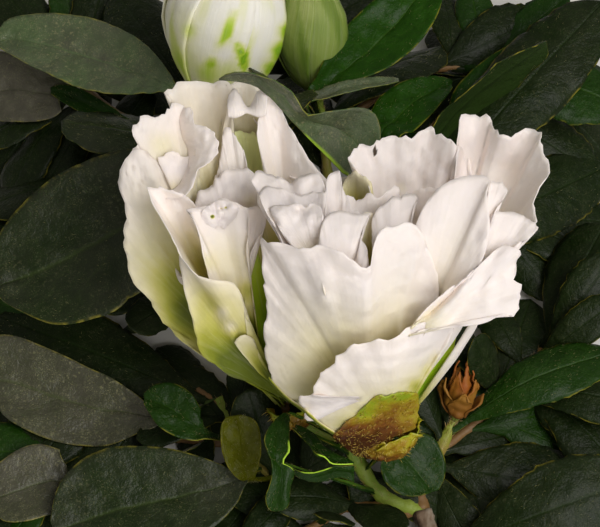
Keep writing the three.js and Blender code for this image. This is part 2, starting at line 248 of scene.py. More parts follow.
class Finish:
    def __init__(self, name, constants):
        self.material = bpy.data.materials.new(name)
        self.material.use_nodes = True
        self.tree = self.material.node_tree
        self.shader = self.tree.nodes["Principled BSDF"]
        for socket, value in constants.items():
            self.shader.inputs[socket].default_value = value

    def node(self, kind, settings, sockets, out=0):
        made = self.tree.nodes.new(kind)
        for setting, value in settings.items():
            if setting == "stops":
                stops = made.color_ramp.elements
                stops.remove(stops[1])
                stops[0].position, stops[0].color = value[0]
                for place, colour in value[1:]:
                    stops.new(place).color = colour
            else:
                setattr(made, setting, value)
        for socket, value in sockets.items():
            if isinstance(value, Wire):
                self.tree.links.new(value.socket, made.inputs[socket])
            else:
                made.inputs[socket].default_value = value
        return Wire(self, made.outputs[out])

    def sum(self, operation, *values):
        return self.node("ShaderNodeMath", {"operation": operation}, dict(enumerate(values)))

    def held(self, value):
        return self.node("ShaderNodeClamp", {}, {0: value})

    # Zero up to a level, then rising to one
    def rise(self, value, level, slope):
        return self.held((value - level) * slope)

    def mark(self, name):
        return self.node("ShaderNodeAttribute", {"attribute_name": name}, {}, out=2)

    def place(self):
        return self.node("ShaderNodeTexCoord", {}, {}, out=3)

    def noise(self, scale, detail=2.0, where=None):
        return self.node("ShaderNodeTexNoise", {}, {"Vector": where or self.place(), "Scale": scale,
                                                   "Detail": detail})

    def ramp(self, value, stops):
        stops = [(at, (*colour, 1.0)) for at, colour in stops]
        return self.node("ShaderNodeValToRGB", {"stops": stops}, {0: value})

    def mix(self, share, first, second):
        first, second = ((*c, 1.0) if isinstance(c, tuple) else c for c in (first, second))
        return self.node("ShaderNodeMix", {"data_type": "RGBA"}, {0: share, 6: first, 7: second}, out=2)

    # The material, with what varies over the surface and a relief, given as its height and depth
    def feed(self, links, relief=None, depth=0.0003):
        if relief is not None:
            links["Normal"] = self.node("ShaderNodeBump", {}, {"Height": relief, "Distance": depth,
                                                              "Strength": 0.6})
        for socket, wire in links.items():
            self.tree.links.new(wire.socket, self.shader.inputs[socket])
        return self.material


petalLooks = {
    "roughness": 0.62, "glow": 0.4, "glowDepth": (0.0013, 0.0012, 0.0009), "shine": 0.35,
    "veins": (40.0, 3.0, 9.0), "cloud": 260.0, "crinkle": 700.0, "swell": 330.0,
    # Colours over reach, from the green foot to the white margin; the olive low end is partly the petals' own
    # green and partly painted shade low in the bloom
    "stops": [(0.0, (0.10, 0.13, 0.003)), (0.12, (0.19, 0.22, 0.008)), (0.25, (0.36, 0.36, 0.04)),
              (0.40, (0.59, 0.54, 0.17)), (0.55, (0.76, 0.68, 0.40)), (0.70, (0.855, 0.76, 0.59)),
              (0.85, (0.91, 0.81, 0.725)), (1.0, (0.935, 0.832, 0.78))],
    # Lime for the slits and gaps between petals: the petals' own lime, made lighter so that the shaded slits
    # look lit, which is painted light
    "limeStops": [(0.0, (0.30, 0.52, 0.0)), (0.3, (0.42, 0.68, 0.005)), (0.6, (0.55, 0.76, 0.04)),
                  (1.0, (0.76, 0.82, 0.34))],
    "vein": (0.70, 0.67, 0.58), "spot": (0.03, 0.016, 0.006),
}


def petalFinish(name, stops=petalLooks["stops"]):
    finish = Finish(name, {"Roughness": petalLooks["roughness"], "Subsurface Weight": petalLooks["glow"],
                           "Subsurface Radius": petalLooks["glowDepth"], "Subsurface Scale": 1.0,
                           "Specular IOR Level": petalLooks["shine"]})
    reach = finish.mark("reach")
    # Veins run from the foot to the margin
    values = zip((finish.mark("across"), reach, finish.mark("tone")), petalLooks["veins"])
    streak = finish.node("ShaderNodeCombineXYZ", {}, dict(enumerate(value * scale for value, scale in values)))
    vein, cloud = finish.noise(1.0, 3.0, streak), finish.noise(petalLooks["cloud"], 3.0)
    colour = finish.ramp(reach + (cloud - 0.5) * 0.1 + (vein - 0.5) * 0.06, stops)
    shaded = finish.mix(finish.rise(vein, 0.52, 2.2) * 0.22, colour, petalLooks["vein"])
    # Painted shade: small holes in a petal are coloured dark brown for the shade seen through them
    holeShaded = finish.mix(finish.rise(finish.mark("spot"), 0.4, 3.0), shaded, petalLooks["spot"])
    relief = vein * 0.6 + finish.noise(petalLooks["crinkle"]) * 0.4 + finish.noise(petalLooks["swell"]) * 0.9
    return finish.feed({"Base Color": holeShaded}, relief)


leafLooks = {
    "dark": {"colour": (0.009, 0.018, 0.003), "vein": (0.035, 0.055, 0.012), "under": (0.035, 0.070, 0.008),
             "dust": 0.22, "gloss": 0.15},
    # lighter and browner than the leaves' own green: partly dust, partly painted sheen
    "dusty": {"colour": (0.040, 0.044, 0.020), "vein": (0.060, 0.075, 0.025), "under": (0.045, 0.080, 0.010),
              "dust": 0.6, "gloss": 0.24},
    "mid": {"colour": (0.007, 0.028, 0.001), "vein": (0.022, 0.060, 0.004), "under": (0.04, 0.09, 0.006),
            "dust": 0.04, "gloss": 0.07},
    "bright": {"colour": (0.010, 0.042, 0.001), "vein": (0.026, 0.070, 0.003), "under": (0.05, 0.12, 0.005),
               "dust": 0.0, "gloss": 0.06},
    "young": {"colour": (0.054, 0.058, 0.001), "vein": (0.09, 0.10, 0.003), "under": (0.08, 0.09, 0.003),
              "dust": 0.0, "gloss": 0.05},
    # grey-green: the leaves' own green lightened by painted sheen
    "grey": {"colour": (0.062, 0.100, 0.036), "vein": (0.10, 0.15, 0.06), "under": (0.06, 0.13, 0.01),
             "dust": 0.7, "gloss": 0.28},
    # brown-grey: painted sheen
    "satin": {"colour": (0.070, 0.066, 0.046), "vein": (0.08, 0.08, 0.05), "under": (0.06, 0.07, 0.03),
              "dust": 0.3, "gloss": 0.14},
    # near black: painted shade for leaves deep in the branch
    "deepShade": {"colour": (0.006, 0.013, 0.002), "vein": (0.010, 0.022, 0.003), "under": (0.014, 0.030, 0.004),
             "dust": 0.08, "gloss": 0.06},
}
leafColours = {"dust": (0.085, 0.078, 0.060), "speckAndGlint": (0.24, 0.23, 0.12), "margin": (0.36, 0.30, 0.03),
               "litRim": (0.42, 0.66, 0.05)}
leafGrains = {"grain": 420.0, "pores": 2600.0, "cloud": 90.0, "speckAndGlint": 4800.0, "flake": 1500.0, "patch": 110.0,
              "leather": 950.0, "sideVeins": 7.0}


def leafFinish(tone, looks):
    finish = Finish(f"leaf_{tone}", {"Specular IOR Level": 0.04 + looks["gloss"], "Coat Roughness": 0.22,
                                     "Coat IOR": 1.45, "Subsurface Weight": 0.06, "Subsurface Scale": 1.0,
                                     "Subsurface Radius": (0.0004, 0.0008, 0.0002)})
    along, across, under = finish.mark("along"), abs(finish.mark("across")), finish.mark("under")
    grain, pores = finish.noise(leafGrains["grain"], 3.0), finish.noise(leafGrains["pores"])
    # Side veins leave the midrib at a slant
    slant = finish.sum("FRACT", along * leafGrains["sideVeins"] - across * 1.7 + (grain - 0.5) * 1.1)
    sideVein = finish.held(1.0 - abs(slant - 0.5) * 11.0) * finish.held((1.0 - across) * 2.0)
    veins = finish.held(sideVein * 0.3 + finish.held(1.0 - across * 18.0))
    lighter = tuple(1.7 * c for c in looks["colour"])
    plain = finish.mix(finish.rise(grain, 0.4, 2.5) * 0.6, looks["colour"], lighter)
    cloud = finish.rise(finish.noise(leafGrains["cloud"], 4.0), 0.36, 3.0)
    # Fine pale specks: partly hairs, partly painted glints
    speckAndGlint = finish.rise(finish.noise(leafGrains["speckAndGlint"], 1.0), 0.60, 12.0) * finish.rise(grain, 0.38, 5.0)
    # A brown-grey veil in clouds: partly dust, partly painted sheen
    dustedAndSheened = finish.mix(cloud * looks["dust"], plain, leafColours["dust"])
    dustedAndSheened = finish.mix(speckAndGlint * (looks["dust"] * 0.9 + 0.06), dustedAndSheened, leafColours["speckAndGlint"])
    # Larger pale flakes lie in patches: partly hairs, partly painted sheen
    patch = finish.rise(finish.noise(leafGrains["patch"]), 0.44, 6.0)
    flake = finish.rise(finish.noise(leafGrains["flake"]), 0.59, 12.0) * patch
    dustedAndSheened = finish.mix(flake * looks["dust"] * 0.8, dustedAndSheened, leafColours["speckAndGlint"])
    above = finish.mix(veins * 0.7, dustedAndSheened, looks["vein"])
    both = finish.mix(under, above, finish.mix(veins * 0.5, looks["under"], looks["vein"]))
    # The margin is pale only here and there
    margin = finish.rise(across, 0.955, 24.0) * finish.rise(grain, 0.42, 5.0)
    edged = finish.mix(margin * 0.5, both, leafColours["margin"])
    lit = finish.mix(finish.mark("rim") * finish.rise(across, 0.86, 9.0), edged, leafColours["litRim"])
    relief = pores * 0.25 + grain * 0.4 + finish.noise(leafGrains["leather"], 3.0) * 0.6 - veins * 0.35
    roughness = finish.held(grain * 0.35 + pores * 0.2 + under * 0.2 + 0.12)
    return finish.feed({"Base Color": lit, "Roughness": roughness,
                        "Coat Weight": finish.held((1.0 - under) * looks["gloss"])}, relief, 0.0007)


# Mottled finishes: a ramp of colours over the mark "reach", or over the mottling alone
mottledLooks = {
    "bark": {"constants": {"Specular IOR Level": 0.3}, "coarse": (520.0, 4.0), "fine": (2400.0, 3.0),
             "stretch": (1.0, 0.22, 1.0), "rough": (0.3, 0.62), "relief": (0.8, 0.3), "depth": 0.0006,
             "stops": [(0.3, (0.045, 0.026, 0.016)), (0.5, (0.13, 0.082, 0.05)), (0.62, (0.18, 0.125, 0.082)),
                       (0.75, (0.26, 0.21, 0.16))]},
    # Green near the tips, reddish brown towards the stem
    "green_shoot": {"constants": {"Specular IOR Level": 0.4, "Subsurface Weight": 0.1,
                                  "Subsurface Radius": (0.0006, 0.0008, 0.0002)},
                    "coarse": (160.0, 3.0), "fine": (1900.0, 2.0), "reach": 0.9, "spread": 0.7,
                    "rough": (0.3, 0.4), "relief": (0.3, 0.5),
                    "stops": [(0.0, (0.14, 0.075, 0.028)), (0.3, (0.24, 0.13, 0.035)),
                              (0.55, (0.23, 0.26, 0.03)), (1.0, (0.20, 0.34, 0.04))]},
    "dry_scale": {"constants": {"Specular IOR Level": 0.35}, "coarse": (300.0, 4.0), "fine": (1400.0, 2.0),
                  "reach": 1.0, "spread": 0.6, "rough": (0.4, 0.4), "relief": (0.4, 0.4),
                  "stops": [(0.0, (0.09, 0.03, 0.006)), (0.4, (0.19, 0.075, 0.008)), (0.7, (0.26, 0.12, 0.012)),
                            (1.0, (0.27, 0.07, 0.006))]},
}


def mottledFinish(name):
    looks = mottledLooks[name]
    finish = Finish(name, looks["constants"])
    where = None
    if "stretch" in looks:
        where = finish.node("ShaderNodeVectorMath", {"operation": "MULTIPLY"},
                            {0: finish.place(), 1: looks["stretch"]})
    coarse, fine = finish.noise(*looks["coarse"], where), finish.noise(*looks["fine"])
    share = coarse
    if "reach" in looks:
        share = finish.mark("reach") * looks["reach"] + (coarse - 0.5) * looks["spread"]
    roughness = finish.held(fine * looks["rough"][0] + looks["rough"][1])
    relief = coarse * looks["relief"][0] + fine * looks["relief"][1]
    return finish.feed({"Base Color": finish.ramp(share, looks["stops"]), "Roughness": roughness}, relief,
                       looks.get("depth", 0.0003))


def calyxFinish():
    finish = Finish("calyx", {"Specular IOR Level": 0.6, "Subsurface Weight": 0.12,
                              "Subsurface Radius": (0.0008, 0.0006, 0.0002)})
    patches = finish.noise(420.0, 4.0)
    share = finish.mark("reach") + (patches - 0.5) * 0.9
    colour = finish.ramp(share, [(0.0, (0.06, 0.013, 0.003)), (0.3, (0.18, 0.062, 0.005)),
                                 (0.55, (0.27, 0.16, 0.006)), (0.8, (0.34, 0.30, 0.006)),
                                 (1.0, (0.26, 0.34, 0.006))])
    return finish.feed({"Base Color": colour, "Roughness": finish.held(patches * 0.4 + 0.2)},
                       finish.noise(1500.0, 3.0))


def hairFinish(name, root, tip):
    finish = Finish(name, {"Roughness": 0.35, "Specular IOR Level": 0.6})
    return finish.feed({"Base Color": finish.mix(finish.mark("reach"), root, tip)})


def floorFinish():
    finish = Finish("pale_floor", {"Roughness": 0.75, "Specular IOR Level": 0.2})
    cloud = finish.noise(9.0, 3.0)
    return finish.feed({"Base Color": finish.mix(cloud, (0.66, 0.65, 0.63), (0.70, 0.69, 0.67))})


# Sheets laid so far, to be lain over or hidden behind
class Laid:
    def __init__(self):
        self.points, self.faces, self.tree = [], [], None

    def add(self, middle):
        rows, columns = middle.shape[:2]
        self.faces.extend(gridFaces(rows, columns, first=len(self.points)).tolist())
        self.points.extend(middle.reshape(-1, 3).tolist())
        self.tree = BVHTree.FromPolygons(self.points, self.faces)

    # A pixel and nearness; with a lift, the place lies that much over a sheet found about there
    def place(self, x, y, near, lift=None):
        place = onPicture(x, y, near)
        if lift is None:
            return place
        hit = self.tree.ray_cast(Vector(eyePlace), Vector(unit(place - eyePlace)))[0]
        if hit is None or np.linalg.norm(np.array(hit) - place) > 8:
            return place
        return np.array(hit) + unit(eyePlace - place) * lift

    # How far each place lies behind what is laid already, as the eye sees it
    def depthBehind(self, places, most=30.0):
        behind = np.zeros(places.shape[:-1])
        ways = unit(eyePlace - places)
        if self.tree is not None:
            for i in np.ndindex(*behind.shape):
                start, way = Vector(places[i] + ways[i] * most), Vector(-ways[i])
                distance = self.tree.ray_cast(start, way, most)[3]
                behind[i] = 0 if distance is None else most - distance
        return behind, ways


# Humps about places of the picture: x, y, height and width
def humps(shapes, x, y):
    total = np.zeros_like(x)
    for px, py, height, width in shapes:
        total += height * np.exp(-((x - px) ** 2 + (y - py) ** 2) / width ** 2)
    return total


def smoothLine(line, passes):
    line = line.copy()
    for _ in range(passes):
        line[1:-1] = (line[:-2] + 2 * line[1:-1] + line[2:]) / 4
    return line


def neighbours(grid):
    wide = np.pad(grid, 1, mode="edge")
    return wide[:-2, 1:-1], wide[2:, 1:-1], wide[1:-1, :-2], wide[1:-1, 2:]


# The least smooth push that still reaches what is needed
def softPush(needed):
    push = needed
    for _ in range(24):
        push = np.maximum(needed, sum(neighbours(push)) / 4)
    for _ in range(5):
        push = (push + sum(neighbours(push)) / 4) / 2
    short = np.maximum(0, needed - push)
    for _ in range(2):
        short = np.max([*neighbours(short), short], axis=0)
    for _ in range(3):
        short = (short + sum(neighbours(short)) / 4) / 2
    return push + short


petalForm = {"thickness": 0.26, "marks": ("reach", "across", "tone", "spot"), "footWidth": 1.1,
             "teeth": [(2.4, 0.6), (1.1, 0.4)], "ruffles": [(5.0, 0.6), (2.6, 0.35)], "crinkles": (3.0, 1.3)}


# A petal spread from its foot, or from a heel of several places, to a margin that goes round it. Belly bows it
# towards the eye; it comes to lie over the petals laid before it, with a little room between.
def spreadPetal(pile, laid, seed, foot, margin, belly=0.0, peak=0.5, ruffle=0.8, rufflePower=4,
                crinkle=0.2, tooth=0.5, greenAndShade=0.0, bumps=(), tintsAndShading=(), holeShades=(), roll=0.0, room=0.3,
                finish=0, size=(32, 54)):
    rows, columns = size
    edge = evenLine([laid.place(*p) for p in margin], columns)
    w = np.linspace(0, 1, columns)
    t = np.linspace(0, 1, rows)[:, None] ** 0.85
    if isinstance(foot, list):
        start = evenLine([laid.place(*p) for p in foot], columns)
    else:
        start = laid.place(*foot) + (w - 0.5)[:, None] * unit(edge[-1] - edge[0]) * petalForm["footWidth"]
    teeth = layeredWaves(edge, seed, petalForm["teeth"])
    soft = smoothLine(edge, columns)
    out = soft - start
    reachable = np.linalg.norm(out, axis=1)
    edge = edge + unit(edge - start) * (tooth * teeth * np.minimum(1, reachable / 6))[:, None]
    share = reachable / reachable.max()
    # Corners of the margin fade out towards the foot
    middle = start + out * t[..., None] + (edge - soft) * (t ** 3)[..., None]
    x, y = toPicture(middle)
    bow = belly * np.sin(math.pi * t ** (math.log(0.5) / math.log(peak))) * share
    bow = bow - roll * np.clip((t - 0.8) / 0.2, 0, 1) ** 2 + humps(bumps, x, y)
    bow = bow + ruffle * layeredWaves(edge, seed + 2, petalForm["ruffles"]) * t ** rufflePower
    broad, fine = petalForm["crinkles"]
    bow = bow + crinkle * waves(middle, seed + 4, broad) * (0.2 + 0.8 * t)
    bow = bow + 0.35 * crinkle * waves(middle, seed + 5, fine) * t ** 3
    middle = middle + unit(eyePlace - middle) * bow[..., None]
    behind, ways = laid.depthBehind(middle)
    needed = np.where(behind > 0, behind + room, 0) * np.clip(t / 0.2, 0, 1)
    middle = middle + ways * softPush(needed)[..., None]
    laid.add(middle)
    # Reach falls with the petal's green share and its local humps: partly the petal's own green, partly painted
    # shade in hollows, under other petals and low in the bloom; where they are below zero they are painted
    # light
    reach = t * (0.25 + 0.75 * share) + 0.12 - greenAndShade - humps(tintsAndShading, x, y)
    pile.addSheet(middle, petalForm["thickness"] * (1.15 - 0.65 * t ** 2), finish, reach=reach,
                  spot=humps(holeShades, x, y), across=w, tone=(seed % 7) / 7)


# The double blooms, as the frame's solids have them: the rim is given by angle, spread and height
blooms = {
    "left": {"foot": (-1.8, -24.7, -28), "way": (-0.3, 0.82, 0.48), "throat": 3.6,
             "rim": [(0, 18, 48), (55, 17, 54), (100, 18, 58), (150, 14.5, 54), (180, 15, 47), (225, 14, 47),
                     (270, 12, 42), (315, 14, 44), (360, 18, 48)]},
    "right": {"foot": (15, -28.5, -24), "way": (0.03, 0.83, 0.55), "throat": 4.6,
              "rim": [(0, 23, 50), (50, 23, 51), (90, 20, 49), (135, 22, 48), (180, 24, 44), (225, 20, 40),
                      (270, 17, 41), (320, 23, 38), (360, 23, 50)]},
}
ringPetals = {"halfSpan": 34, "recurve": 1.5, "ruffle": 0.9, "ruffles": [(6.0, 0.8), (3.0, 0.45)],
              "size": (30, 44), "steps": 14, "narrower": 0.045, "lower": 0.028, "clear": 0.9}


# The middle surface of a petal in the ring round a bloom: spread and height are shares of the bloom's own rim
def ringSurface(seed, bloom, angle, spread, height, up, t, w):
    degrees = angle + ringPetals["halfSpan"] * w * (0.75 + 0.25 * t)
    at, wide, tall = np.array(bloom["rim"], float).T
    radius = np.interp(degrees % 360, at, wide) * spread
    wall = 1 - (1 - up) ** 1.9
    curl = ringPetals["recurve"] * np.clip((t - 0.78) / 0.22, 0, 1) ** 2
    r = bloom["throat"] * 0.9 * spread + (radius - bloom["throat"] * spread) * wall + curl
    h = np.interp(degrees % 360, at, tall) * height * up - 0.5 * curl
    stand = Stand(bloom)
    middle, around = stand.wall(h, r, np.radians(degrees))
    lift = ringPetals["ruffle"] * layeredWaves(middle, seed, ringPetals["ruffles"]) * t ** 2.5
    middle = middle + around * (lift + 0.15 * waves(middle, seed + 2, 2.2) * t)[..., None]
    return middle + stand.axis * (0.5 * waves(middle, seed + 3, 3.0) * t ** 4)[..., None]


# Draws a ring petal in until the petals in sight hide it from the eye; one that can't be hidden is left out
def addRingPetal(pile, laid, seed, bloom, angle, spread, height, greenAndShade):
    t, w = sheetGrid(ringPetals["size"])
    up = t * (1 - 0.16 * np.abs(w) ** 3)
    for step in range(ringPetals["steps"]):
        wide, tall = spread * (1 - ringPetals["narrower"] * step), height * (1 - ringPetals["lower"] * step)
        middle = ringSurface(seed, bloom, angle, wide, tall, up, t, w)
        behind, _ = laid.depthBehind(middle[::2, ::2], most=70.0)
        if (behind[4:] >= ringPetals["clear"]).all():
            pile.addSheet(middle, petalForm["thickness"] * (1.1 - 0.4 * t ** 2),
                          reach=up * 0.95 + 0.12 - greenAndShade, across=0.5 + w / 2, tone=(seed % 5) / 5)
            return


